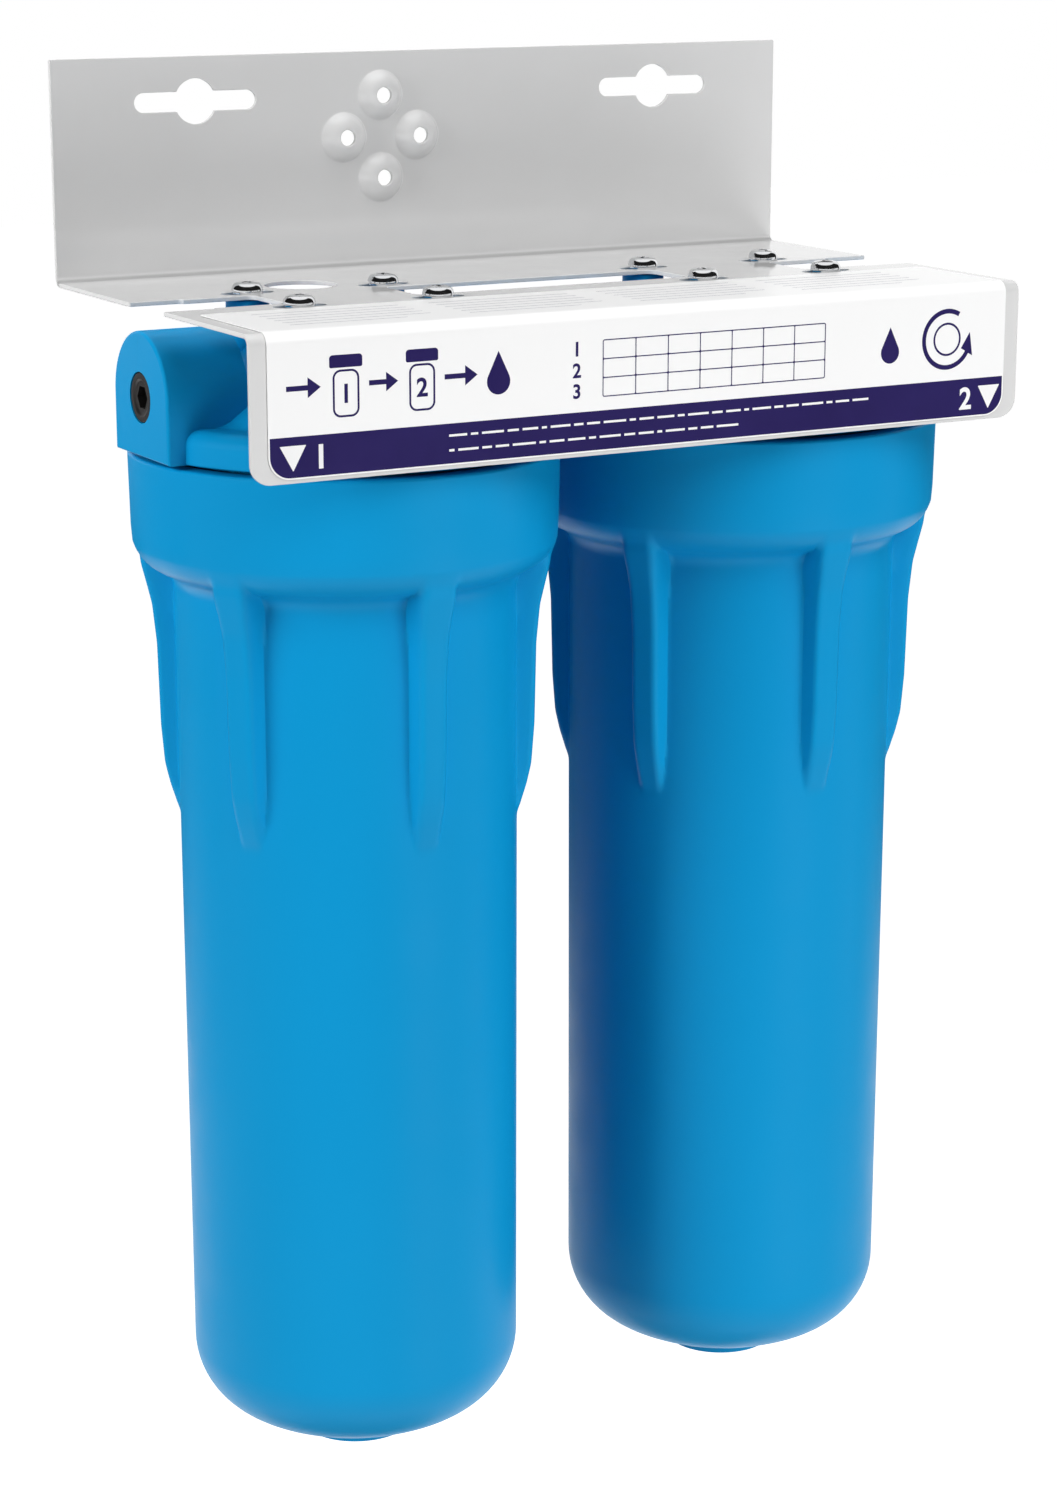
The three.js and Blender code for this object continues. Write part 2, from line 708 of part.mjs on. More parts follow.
// A grip rib along the body, drawn at the front and turned to its place.
function ribSolid(angle) {
  const top = sumpTop - collarHeight - ribOverlap;
  const rings = ribDownShares.map((down, i) => {
    const half = ribWidth * ribWidthShares[i] / 2;
    const crest = bodyFootRadius + ribProud * ribProudShares[i];
    const base = bodyFootRadius - sumpWall / 2;
    const shoulder = Math.max(crest - ribEdge, base + sink);
    const height = top - ribLength * down;
    const crestHalf = half * ribCrestShare;
    return [
      [-half, -base, height],
      [-half, -shoulder, height],
      [-crestHalf, -Math.max(crest, shoulder + sink / 2), height],
      [crestHalf, -Math.max(crest, shoulder + sink / 2), height],
      [half, -shoulder, height],
      [half, -base, height],
    ];
  });
  return loft(rings).rotate([0, 0, angle]);
}

function sumpSolid() {
  const ribs = [];
  for (let i = 0; i < ribCount; i += 1) ribs.push(ribSolid(360 * i / ribCount));
  const shell = solidOf(turned(sumpProfile(), largeSides));
  const crest = threadLead - 2 * threadPlay - threadCrest - (capThreadRadius - sumpThreadRadius);
  const start = skirtBottom + threadStart + threadLead / 2 - threadLag * threadLead;
  const thread = threadRidge(boreRadius, sumpThreadRadius, crest, sumpThreadTurns, start, -threadLag);
  return joined(shell, ...ribs, thread);
}

// Cartridges

function tube(outer, inner, low, high, sides) {
  return cutBy(post(outer, low, high, sides), post(inner, low - overrun, high + overrun, sides));
}

function coreSolid() {
  return tube(cartridgeBore + coreWall, cartridgeBore, cartridgeBottom, cartridgeTop, middleSides);
}

function sedimentSolid() {
  const inner = cartridgeBore + coreWall + seat;
  return tube(cartridgeRadius, inner, cartridgeBottom, cartridgeTop, middleSides);
}

function carbonEnds() {
  const high = cartridgeTop - gasketThickness - seat;
  const low = cartridgeBottom + gasketThickness + seat;
  return [low, high];
}

function carbonBlockSolid() {
  const [low, high] = carbonEnds();
  const outer = cartridgeRadius - endCapWall - wrapThickness - seat - blockClearance;
  const gap = endCapThickness + seat;
  return tube(outer, cartridgeBore, low + gap, high - gap, middleSides);
}

function carbonWrapSolid() {
  const [low, high] = carbonEnds();
  const outer = cartridgeRadius - endCapWall - seat;
  const gap = endCapThickness + seat;
  return tube(outer, outer - wrapThickness, low + gap, high - gap, middleSides);
}

// An end cap's disc and skirt, with the skirt pointing down or up.
function endCapSolid(outerFace, direction) {
  const inside = outerFace + direction * endCapThickness;
  const rim = inside + direction * endCapSkirt;
  const span = (a, b) => [Math.min(a, b), Math.max(a, b)];
  const disc = tube(cartridgeRadius, cartridgeBore, ...span(outerFace, rim), middleSides);
  const hollow = post(cartridgeRadius - endCapWall, ...span(inside, rim + direction * overrun), middleSides);
  return cutBy(disc, hollow);
}

function gasketSolid(low) {
  return tube(cartridgeBore + gasketWall, cartridgeBore, low, low + gasketThickness, middleSides);
}

// Small parts

function screwSolid() {
  const path = new THREE.Path();
  const dome = screwHeadHeight - screwHeadSide;
  path.moveTo(0, -screwLength);
  path.lineTo(screwRadius, screwTip - screwLength);
  path.lineTo(screwRadius, 0);
  path.lineTo(screwHeadRadius, 0);
  path.absellipse(0, screwHeadSide, screwHeadRadius, dome, 0, Math.PI / 2, false);
  const screw = solidOf(turned(path, smallSides));
  const arm = (width, depth) => solidOf(
    new THREE.BoxGeometry(width, depth, 2 * recessDepth).translate(0, 0, screwHeadHeight));
  return cutBy(screw, arm(recessLength, recessWidth), arm(recessWidth, recessLength));
}

function plugSolid(side) {
  const face = side * (portReach - plugInset);
  const body = bar(portRadius - seat, face - side * plugLength, face, -portAxisDrop, middleSides);
  const socketEnd = face - side * plugSocketDepth;
  const socket = bar(plugSocketRadius, socketEnd, face + side * overrun, -portAxisDrop, plugSocketSides);
  return cutBy(body, socket);
}

function nippleSolid() {
  const half = portGap / 2 + nippleReach;
  const nutHalf = portGap / 2 - nippleNutPlay;
  const body = bar(portRadius - seat, -half, half, -portAxisDrop, middleSides);
  const nut = bar(nippleNutRadius, -nutHalf, nutHalf, -portAxisDrop, nippleNutSides);
  const bore = bar(nippleBore, -half - overrun, half + overrun, -portAxisDrop, smallSides);
  return cutBy(joined(body, nut), bore);
}

function sealRingSolid() {
  return roundRing(sealMiddle, sealRadius, sealHeight, largeSides);
}

// Relief valve, drawn about its own axis

function reliefButtonSolid() {
  const headBottom = reliefTop - reliefHeadHeight;
  const discTop = reliefSeat - 2 * reliefSealRadius - 2 * seat;
  return solidOf(turned(pathThrough([
    [0, discTop - reliefDiscThickness],
    [reliefDiscRadius, discTop - reliefDiscThickness],
    [reliefDiscRadius, discTop],
    [reliefStemRadius, discTop],
    [reliefStemRadius, headBottom],
    [reliefWellRadius - reliefStemPlay, headBottom],
    [reliefWellRadius - reliefStemPlay, reliefTop - seat],
    [reliefWellRadius - reliefStemPlay - seat, reliefTop],
    [0, reliefTop],
  ]), smallSides));
}

class SpringLine extends THREE.Curve {
  constructor(low, high) {
    super();
    this.low = low;
    this.high = high;
  }

  getPoint(t, target = new THREE.Vector3()) {
    const angle = 2 * Math.PI * springTurns * t;
    const height = this.low + (this.high - this.low) * t;
    return target.set(springRadius * Math.cos(angle), springRadius * Math.sin(angle), height);
  }
}

function reliefSpringSolid() {
  const rest = springWire / 2 + seat;
  const line = new SpringLine(reliefWellFloor + rest, reliefTop - reliefHeadHeight - rest);
  const points = [];
  for (let i = 0; i < springSides; i += 1) {
    const angle = 2 * Math.PI * i / springSides;
    points.push(new THREE.Vector2(Math.cos(angle), Math.sin(angle)).multiplyScalar(springWire / 2));
  }
  const steps = springTurns * springStepsPerTurn;
  return solidOf(new THREE.ExtrudeGeometry(new THREE.Shape(points), { steps, extrudePath: line }));
}

function reliefSealSolid() {
  const height = reliefSeat - seat - reliefSealRadius;
  return roundRing(reliefSealMiddle, reliefSealRadius, height, smallSides);
}

// Assembly

const filter = new THREE.Group();

function addPiece(parent, name, solid, material) {
  const mesh = new THREE.Mesh(geometryOf(solid), material);
  mesh.name = name;
  parent.add(mesh);
  return mesh;
}

const bracket = new THREE.Group();
bracket.position.set(0, 0, flangeTop);
filter.add(bracket);
addPiece(bracket, 'mounting_bracket', bracketSolid(), paintedSteel);
addPiece(bracket, 'front_label', labelSolid(), labelWhite);

function addStage(side, x) {
  const stage = new THREE.Group();
  stage.position.set(x, axisY, flangeTop);
  filter.add(stage);
  addPiece(stage, `${side}_cap`, capSolid(side === 'left'), bluePlastic);
  addPiece(stage, `${side}_seal_ring`, sealRingSolid(), blackRubber);
  addPiece(stage, `${side}_sump`, sumpSolid(), bluePlastic);
  screwPlaces().forEach(([screwX, screwY], i) => {
    const screw = addPiece(stage, `${side}_screw_${i + 1}`, screwSolid(), chrome);
    screw.position.set(screwX, screwY, 0);
  });
  return stage;
}

const [leftX, rightX] = stagePlaces();
const left = addStage('left', leftX);
const right = addStage('right', rightX);

addPiece(left, 'inlet_plug', plugSolid(-1), blackPlastic);
addPiece(right, 'outlet_plug', plugSolid(1), blackPlastic);
const nipple = addPiece(filter, 'joining_nipple', nippleSolid(), blackPlastic);
nipple.position.set((leftX + rightX) / 2, axisY, flangeTop);

addPiece(left, 'sediment_core', coreSolid(), whitePlastic);
addPiece(left, 'sediment_filter', sedimentSolid(), spunFibre);

const [carbonLow, carbonHigh] = carbonEnds();
addPiece(right, 'carbon_block', carbonBlockSolid(), carbonBlack);
addPiece(right, 'carbon_wrap', carbonWrapSolid(), meshWhite);
addPiece(right, 'carbon_upper_cap', endCapSolid(carbonHigh, -1), whitePlastic);
addPiece(right, 'carbon_lower_cap', endCapSolid(carbonLow, 1), whitePlastic);
addPiece(right, 'carbon_upper_gasket', gasketSolid(cartridgeTop - gasketThickness), blackRubber);
addPiece(right, 'carbon_lower_gasket', gasketSolid(cartridgeBottom), blackRubber);

const relief = new THREE.Group();
relief.position.set(0, reliefBehind, 0);
left.add(relief);
addPiece(relief, 'relief_button', reliefButtonSolid(), redPlastic);
addPiece(relief, 'relief_spring', reliefSpringSolid(), springSteel);
addPiece(relief, 'relief_seal', reliefSealSolid(), blackRubber);

export default filter;
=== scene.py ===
# %% [markdown]
# # A two stage water filter for the cupboard under a sink
#
# Two blue filter housings hang side by side under one bent steel bracket. Each housing is a fixed cap with a
# ribbed sump screwed up into it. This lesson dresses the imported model: the frame gives the places of the
# nodes and the bodies they ride on, and every smooth surface is made here, in the same frame.

# %% Load the frame
import math

import bmesh
import bpy
from mathutils import Matrix, Vector


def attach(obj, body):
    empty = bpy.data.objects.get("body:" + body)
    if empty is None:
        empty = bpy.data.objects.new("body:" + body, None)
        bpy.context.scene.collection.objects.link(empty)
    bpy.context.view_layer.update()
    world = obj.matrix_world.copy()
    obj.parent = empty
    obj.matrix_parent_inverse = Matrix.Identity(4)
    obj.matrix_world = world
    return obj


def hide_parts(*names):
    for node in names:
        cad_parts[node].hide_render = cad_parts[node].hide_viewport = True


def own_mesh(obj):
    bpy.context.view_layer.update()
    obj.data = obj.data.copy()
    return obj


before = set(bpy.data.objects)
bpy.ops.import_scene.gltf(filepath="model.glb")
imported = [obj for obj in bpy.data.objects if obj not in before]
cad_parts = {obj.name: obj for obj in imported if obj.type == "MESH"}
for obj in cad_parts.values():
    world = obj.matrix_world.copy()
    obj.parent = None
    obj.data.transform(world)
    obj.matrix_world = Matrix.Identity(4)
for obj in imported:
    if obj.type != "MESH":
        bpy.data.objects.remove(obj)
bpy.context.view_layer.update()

# %% [markdown]
# ## Places
#
# The sizes below are in millimetres, as a drawing has them, and become metres when a piece is set down. The
# top of the flange is the height from which both housings are measured, and each housing has its own upright
# axis.

# %% Places on the filter
MM = 0.001
FLANGE_TOP = -48.0
AXIS_Y = -63.6
LEFT = Vector((-60.35, AXIS_Y, FLANGE_TOP))
RIGHT = Vector((64.15, AXIS_Y, FLANGE_TOP))
BRACKET = Vector((0, 0, FLANGE_TOP))
HOUSINGS = (("left", LEFT), ("right", RIGHT))
FULL_TURN = 2 * math.pi
QUARTER_TURN = FULL_TURN / 4

# %% [markdown]
# ## From a drawn form to an object
#
# Every form is drawn in a bmesh, Blender's workbench for vertices, edges and faces. Once it is drawn,
# vertices that lie on each other merge and the faces turn outwards. Then it becomes the mesh of an object.


# %% Close a form and make it an object
def closed_up(bm):
    bmesh.ops.remove_doubles(bm, verts=bm.verts, dist=0.0005)
    bmesh.ops.recalc_face_normals(bm, faces=bm.faces)
    return bm


def as_object(bm, name, surface=None):
    mesh = bpy.data.meshes.new(name)
    bm.to_mesh(mesh)
    bm.free()
    if surface:
        mesh.materials.append(surface)
    thing = bpy.data.objects.new(name, mesh)
    bpy.context.collection.objects.link(thing)
    return thing


# %% [markdown]
# ## Setting a piece down
#
# A piece is drawn about its own axis, so it is moved to its place and scaled to metres inside its mesh. The
# object itself stays at the origin. Edges sharper than an angle stay crisp, and the Weighted Normal modifier
# keeps broad flat faces flat beside their small rounded edges. On sheet work the flat panels are shaded flat
# altogether.

# %% Set a finished piece down
SQUARE_ON = 0.99999


def set_down(
        name, bm, place, body, surface, stands_for=(), crisp=32, panels=False, looks=None):
    closed_up(bm)
    for face in bm.faces:
        if looks and face.normal.dot(Vector(looks)) < 0:
            face.normal_flip()
    bmesh.ops.transform(bm, matrix=Matrix.Scale(MM, 4) @ Matrix.Translation(place), verts=bm.verts)
    piece = as_object(bm, name, surface)
    mesh = piece.data
    mesh.shade_smooth()
    mesh.set_sharp_from_angle(angle=math.radians(crisp))
    for face in mesh.polygons:
        if panels and max(abs(part) for part in face.normal) > SQUARE_ON:
            face.use_smooth = False
    even = piece.modifiers.new("flat faces stay flat", "WEIGHTED_NORMAL")
    even.keep_sharp = True
    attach(piece, body)
    if stands_for:
        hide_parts(*stands_for)
    print(name, len(mesh.polygons), "faces")
    return piece


# %% [markdown]
# ## Turned forms
#
# Most of a filter is round. Half of its outline is drawn as a line of corners, in distance from the axis and
# height, and a corner may have a rounding: bevelling a lone corner of a line cuts it into an arc. Spin then
# turns the line about the axis, as a lathe does.


# %% Draw half an outline and turn it
def rounded(bm, geom, radius, steps, affect="VERTICES"):
    bmesh.ops.bevel(
        bm, geom=geom, offset=radius, offset_type="OFFSET", segments=steps, profile=0.5,
        affect=affect, material=-1)


def draw_line(bm, corners, places, closed, steps):
    points = [bm.verts.new(place) for place in places]
    following = points[1:] + points[:1] if closed else points[1:]
    for first, second in zip(points, following):
        bm.edges.new((first, second))
    for point, corner in zip(points, corners):
        if len(corner) > 2:
            rounded(bm, [point], corner[2], steps)


def outline(corners, closed=False, steps=5):
    bm = bmesh.new()
    draw_line(bm, corners, [(corner[0], 0, corner[1]) for corner in corners], closed, steps)
    return bm


def swept(bm, angle, steps, geom=None, centre=(0, 0, 0), axis=(0, 0, 1), climb=0.0, merge=False):
    bmesh.ops.spin(
        bm, geom=geom or bm.verts[:] + bm.edges[:], cent=centre, axis=axis, dvec=(0, 0, climb),
        angle=angle, steps=steps, use_merge=merge, use_duplicate=False)
    return bm


def spin(bm, sides):
    return closed_up(swept(bm, FULL_TURN, sides, merge=True))


def turned(corners, sides=64, closed=False, steps=5):
    return spin(outline(corners, closed, steps), sides)


def arc(centre, radius, start, end, steps):
    corners = []
    for i in range(steps + 1):
        angle = math.radians(start + (end - start) * i / steps)
        corners.append((centre[0] + radius * math.cos(angle), centre[1] + radius * math.sin(angle)))
    return corners


# %% [markdown]
# ## Adding and cutting
#
# A moulded cap is a body with blocks and bosses added and bores cut. Each form is a closed bmesh, and the
# Boolean modifier adds or cuts one with another. The helper puts both on scratch objects, keeps the result
# and removes them.


# %% Join one closed form to another, or cut it
def worked(base, tool, operation):
    body, other = as_object(base, "worked_body"), as_object(tool, "worked_tool")
    step = body.modifiers.new("work", "BOOLEAN")
    step.operation = operation
    step.solver = "MANIFOLD"
    step.object = other
    graph = bpy.context.evaluated_depsgraph_get()
    result = bmesh.new()
    result.from_mesh(body.evaluated_get(graph).to_mesh())
    for thing in (body, other):
        mesh = thing.data
        bpy.data.objects.remove(thing)
        bpy.data.meshes.remove(mesh)
    return result


def joined(base, tool):
    return worked(base, tool, "UNION")


def cut(base, tool):
    return worked(base, tool, "DIFFERENCE")


# %% [markdown]
# Bores, bosses and ducts are plain round bars before they are joined or cut, upright or lying along the
# filter.


# %% Round bars
def bar(radius, length, matrix, sides):
    bm = bmesh.new()
    bmesh.ops.create_cone(
        bm, cap_ends=True, segments=sides, radius1=radius, radius2=radius, depth=length,
        matrix=matrix)
    return bm


def upright_bar(radius, low, high, x=0, y=0, sides=48):
    return bar(radius, high - low, Matrix.Translation((x, y, (low + high) / 2)), sides)


def lying_bar(radius, start, end, z):
    matrix = Matrix.Translation(((start + end) / 2, 0, z)) @ Matrix.Rotation(QUARTER_TURN, 4, "Y")
    return bar(radius, abs(end - start), matrix, 48)


# %% [markdown]
# ## Screw threads
#
# A thread is one ridge wound round a wall. Its section is a small four-sided face, wide at the wall and
# narrow at the crest, and a spin that also climbs by the lead winds it up.


# %% Wind a thread
def wound(bm, section, lead, turns, per_turn):
    section.copy().normal_flip()
    swept(
        bm, FULL_TURN * turns, round(turns * per_turn), [section, *section.edges, *section.verts],
        climb=lead / per_turn)
    return closed_up(bm)


def thread(wall, crest, crest_width, lead, turns, start_height, start_turn=0, per_turn=96):
    root_width = crest_width + abs(crest - wall)
    bm = bmesh.new()
    corners = [
        (wall, start_height - root_width / 2), (crest, start_height - crest_width / 2),
        (crest, start_height + crest_width / 2), (wall, start_height + root_width / 2)]
    section = bm.faces.new([bm.verts.new((radius, 0, height)) for radius, height in corners])
    bmesh.ops.rotate(
        bm, cent=(0, 0, 0), matrix=Matrix.Rotation(FULL_TURN * start_turn, 3, "Z"), verts=bm.verts)
    return wound(bm, section, lead, turns, per_turn)


def gathered(*parts):
    whole = bmesh.new()
    for part in parts:
        mesh = bpy.data.meshes.new("part")
        part.to_mesh(mesh)
        part.free()
        whole.from_mesh(mesh)
        bpy.data.meshes.remove(mesh)
    return whole


# %% [markdown]
# ## Finishes
#
# A real surface is never one flat colour. Each finish starts from a shader with its plain values, and then
# gets three kinds of detail, all read from the object's own coordinates so that they stay on the piece when
# it moves: a slow drift of the colour, a patchy gloss, and a fine grain that tilts the surface. Noise keeps
# mostly between 0.3 and 0.7, so that range is spread over the two ends.


# %% Start a finish
def srgb(red, green, blue):
    def linear(value):
        value = value / 255
        return value / 12.92 if value <= 0.04045 else ((value + 0.055) / 1.055) ** 2.4
    return (linear(red), linear(green), linear(blue), 1)


def finish(name, colour, roughness, metallic=0.0, specular=0.5):
    material = bpy.data.materials.new(name)
    material.use_nodes = True
    shader = material.node_tree.nodes["Principled BSDF"]
    shader.inputs["Base Color"].default_value = colour
    shader.inputs["Roughness"].default_value = roughness
    shader.inputs["Metallic"].default_value = metallic
    shader.inputs["Specular IOR Level"].default_value = specular
    material.diffuse_color = colour
    return material


def noise(material, scale, detail=3.0, stretch=(1, 1, 1)):
    nodes, links = material.node_tree.nodes, material.node_tree.links
    place = nodes.new("ShaderNodeTexCoord")
    mapping = nodes.new("ShaderNodeMapping")
    mapping.inputs["Scale"].default_value = stretch
    texture = nodes.new("ShaderNodeTexNoise")
    texture.inputs["Scale"].default_value = scale
    texture.inputs["Detail"].default_value = detail
    links.new(place.outputs["Object"], mapping.inputs["Vector"])
    links.new(mapping.outputs["Vector"], texture.inputs["Vector"])
    return texture


# %% Drift of colour, patchy gloss and grain
NOISE_LOW, NOISE_HIGH = 0.3, 0.7


def drift(material, first, second, scale, detail=3.0, stretch=(1, 1, 1)):
    nodes, links = material.node_tree.nodes, material.node_tree.links
    texture = noise(material, scale, detail, stretch)
    ramp = nodes.new("ShaderNodeValToRGB")
    ramp.color_ramp.elements[0].position = NOISE_LOW
    ramp.color_ramp.elements[1].position = NOISE_HIGH
    ramp.color_ramp.elements[0].color = first
    ramp.color_ramp.elements[1].color = second
    links.new(texture.outputs["Fac"], ramp.inputs["Fac"])
    links.new(ramp.outputs["Color"], nodes["Principled BSDF"].inputs["Base Color"])


def patchy_gloss(material, low, high, scale):
    nodes, links = material.node_tree.nodes, material.node_tree.links
    texture = noise(material, scale, detail=4.0)
    spread = nodes.new("ShaderNodeMapRange")
    spread.inputs["From Min"].default_value = NOISE_LOW
    spread.inputs["From Max"].default_value = NOISE_HIGH
    spread.inputs["To Min"].default_value = low
    spread.inputs["To Max"].default_value = high
    links.new(texture.outputs["Fac"], spread.inputs["Value"])
    links.new(spread.outputs["Result"], nodes["Principled BSDF"].inputs["Roughness"])


def grain(material, scale, depth, detail=2.0, stretch=(1, 1, 1)):
    nodes, links = material.node_tree.nodes, material.node_tree.links
    texture = noise(material, scale, detail, stretch)
    bump = nodes.new("ShaderNodeBump")
    bump.inputs["Strength"].default_value = 1.0
    bump.inputs["Distance"].default_value = depth
    links.new(texture.outputs["Fac"], bump.inputs["Height"])
    links.new(bump.outputs["Normal"], nodes["Principled BSDF"].inputs["Normal"])


# %% [markdown]
# The housings are moulded from blue polypropylene: satin rather than glossy, with a hardly visible flow of
# the colour and a very fine skin from the mould. Caps and sumps come from two moulds but from the same
# granulate.

# %% Blue housing plastic
blue_plastic = finish("blue_housing_plastic", srgb(8, 148, 206), 0.42, specular=0.13)
drift(blue_plastic, srgb(6, 146, 204), srgb(12, 150, 208), 14, stretch=(1, 1, 0.35))
patchy_gloss(blue_plastic, 0.36, 0.44, 60)
grain(blue_plastic, 1600, 0.00002)

# %% [markdown]
# The bracket has a glossy, light grey powder paint. Such paint shows a shallow orange peel, a few
# millimetres from crest to crest, which only the reflections give away. In the crease of the rear fold a
# painted shade darkens the paint: the colour is multiplied down with the distance from a line along the
# fold.

# %% Powder paint of the bracket, with painted shade along the fold
# Painted shade: the colour is darkened near a line, standing in for the shade that falls in a fold.
def painted_crease_shade(material, y, z, reach, shade):
    nodes, links = material.node_tree.nodes, material.node_tree.links
    shader = nodes["Principled BSDF"]
    colour = shader.inputs["Base Color"].links[0].from_socket
    place = nodes.new("ShaderNodeTexCoord")
    across = nodes.new("ShaderNodeVectorMath")
    across.operation = "MULTIPLY"
    across.inputs[1].default_value = (0, 1, 1)
    gap = nodes.new("ShaderNodeVectorMath")
    gap.operation = "DISTANCE"
    gap.inputs[1].default_value = (0, y, z)
    tone = nodes.new("ShaderNodeMapRange")
    tone.interpolation_type = "SMOOTHSTEP"
    tone.inputs["From Min"].default_value = 0.3 * reach
    tone.inputs["From Max"].default_value = reach
    tone.inputs["To Min"].default_value = shade
    tone.inputs["To Max"].default_value = 1.0
    toned = nodes.new("ShaderNodeVectorMath")
    toned.operation = "SCALE"
    links.new(place.outputs["Object"], across.inputs[0])
    links.new(across.outputs["Vector"], gap.inputs[0])
    links.new(gap.outputs["Value"], tone.inputs["Value"])
    links.new(colour, toned.inputs["Vector"])
    links.new(tone.outputs["Result"], toned.inputs["Scale"])
    links.new(toned.outputs["Vector"], shader.inputs["Base Color"])


grey_paint = finish("grey_powder_paint", srgb(213, 213, 213), 0.1, specular=1.0)
drift(grey_paint, srgb(212, 212, 212), srgb(215, 215, 215), 20)
patchy_gloss(grey_paint, 0.07, 0.13, 90)
grain(grey_paint, 420, 0.00001)
# Painted shade in the crease of the rear fold, darkest on the fold line.
painted_crease_shade(grey_paint, y=-0.0022, z=-0.0478, reach=0.0013, shade=0.55)

# %% [markdown]
# The label is a glossy white film. Its print is a dark blue ink, duller than the film, with white ink on top
# where a mark lies on the dark band.

# %% Label film and ink
label_film = finish("white_label_film", srgb(245, 245, 245), 0.3, specular=0.8)
drift(label_film, srgb(245, 245, 245), srgb(246, 246, 246), 30)
patchy_gloss(label_film, 0.29, 0.33, 120)
grain(label_film, 700, 0.000006)

label_ink = finish("dark_label_ink", srgb(36, 27, 84), 0.35, specular=0.12)
drift(label_ink, srgb(34, 25, 81), srgb(39, 30, 88), 60)
patchy_gloss(label_ink, 0.3, 0.4, 200)
grain(label_ink, 900, 0.000006)

white_ink = finish("white_label_ink", srgb(244, 244, 244), 0.35, specular=0.3)
drift(white_ink, srgb(241, 241, 242), srgb(247, 247, 247), 80)
patchy_gloss(white_ink, 0.3, 0.42, 200)
grain(white_ink, 900, 0.000006)

# %% [markdown]
# The screws are chromed steel: nearly a mirror, with a faint unevenness in it. The spring is bare drawn
# wire.

# %% Chrome and spring wire
chrome = finish("bright_chrome", srgb(226, 228, 230), 0.07, metallic=1.0)
drift(chrome, srgb(222, 224, 226), srgb(232, 233, 235), 120)
patchy_gloss(chrome, 0.05, 0.13, 400)
grain(chrome, 900, 0.000004)

spring_wire = finish("drawn_spring_wire", srgb(185, 188, 192), 0.3, metallic=1.0)
drift(spring_wire, srgb(178, 181, 186), srgb(194, 197, 200), 900)
patchy_gloss(spring_wire, 0.22, 0.38, 1500)
grain(spring_wire, 3000, 0.000005)

# %% [markdown]
# The plugs and the nipple are black moulded plastic, the seals are matt rubber, the end caps are cream white
# plastic and the relief button is red, so that a hand finds it.

# %% Small mouldings and rubber
black_plastic = finish("black_plug_plastic", srgb(33, 32, 32), 0.42, specular=0.25)
drift(black_plastic, srgb(30, 29, 29), srgb(38, 36, 36), 90)
patchy_gloss(black_plastic, 0.34, 0.5, 300)
grain(black_plastic, 1500, 0.00002)

black_rubber = finish("black_seal_rubber", srgb(27, 27, 27), 0.75, specular=0.3)
drift(black_rubber, srgb(24, 24, 24), srgb(33, 33, 32), 120)
patchy_gloss(black_rubber, 0.62, 0.85, 300)
grain(black_rubber, 2200, 0.00003)

white_plastic = finish("cream_end_cap_plastic", srgb(238, 237, 232), 0.45)
drift(white_plastic, srgb(234, 233, 227), srgb(241, 240, 236), 60)
patchy_gloss(white_plastic, 0.38, 0.52, 200)
grain(white_plastic, 1400, 0.00002)

red_plastic = finish("red_button_plastic", srgb(200, 34, 30), 0.38)
drift(red_plastic, srgb(192, 30, 27), srgb(207, 40, 35), 150)
patchy_gloss(red_plastic, 0.3, 0.45, 400)
grain(red_plastic, 1800, 0.00002)

# %% [markdown]
# ## Filter media
#
# The sediment cartridge is spun fibre: fine threads laid round it, so its grain is stretched round the
# cartridge and deep. The carbon block is pressed grit, and its wrap is a white woven net.

# %% Spun fibre, carbon and net
spun_fibre = finish("spun_white_fibre", srgb(243, 241, 235), 0.95, specular=0.15)
drift(spun_fibre, srgb(232, 229, 221), srgb(249, 248, 244), 260, detail=6, stretch=(1, 1, 4))
patchy_gloss(spun_fibre, 0.88, 1.0, 300)
grain(spun_fibre, 520, 0.0006, detail=8, stretch=(1, 1, 5))

pressed_carbon = finish("pressed_black_carbon", srgb(32, 32, 33), 0.85, specular=0.3)
drift(pressed_carbon, srgb(22, 22, 23), srgb(52, 52, 54), 1400, detail=5)
patchy_gloss(pressed_carbon, 0.6, 0.95, 1600)
grain(pressed_carbon, 1500, 0.0002, detail=5)

net_wrap = finish("white_net_wrap", srgb(228, 230, 228), 0.8, specular=0.25)
drift(net_wrap, srgb(206, 209, 208), srgb(238, 240, 238), 900, detail=4)
patchy_gloss(net_wrap, 0.7, 0.9, 700)
grain(net_wrap, 1100, 0.0003, detail=4)

# %% [markdown]
# ## The sump
#
# The sump is a deep moulded cup: a wide collar that holds the thread, a slim body, a domed bottom with a
# small foot ring, and inside it a post that centres the cartridge. All of that is one outline, from the
# middle of the foot up the outside, over the mouth and down the inside to the floor.

# %% Outline of the sump
FOOT = -327.6
BODY_TOP_RADIUS = 46.9
BODY_FOOT_RADIUS = 46.4
WALL = 3.5
HEEL, HEEL_RADIUS = (24.8, -298.3), 21.6
DOME, DOME_RADIUS = (0, -252.63), 73.57
POST_FOOT = -304.3
POST_TOP = -296.8
POST_FLOOR = -319.2

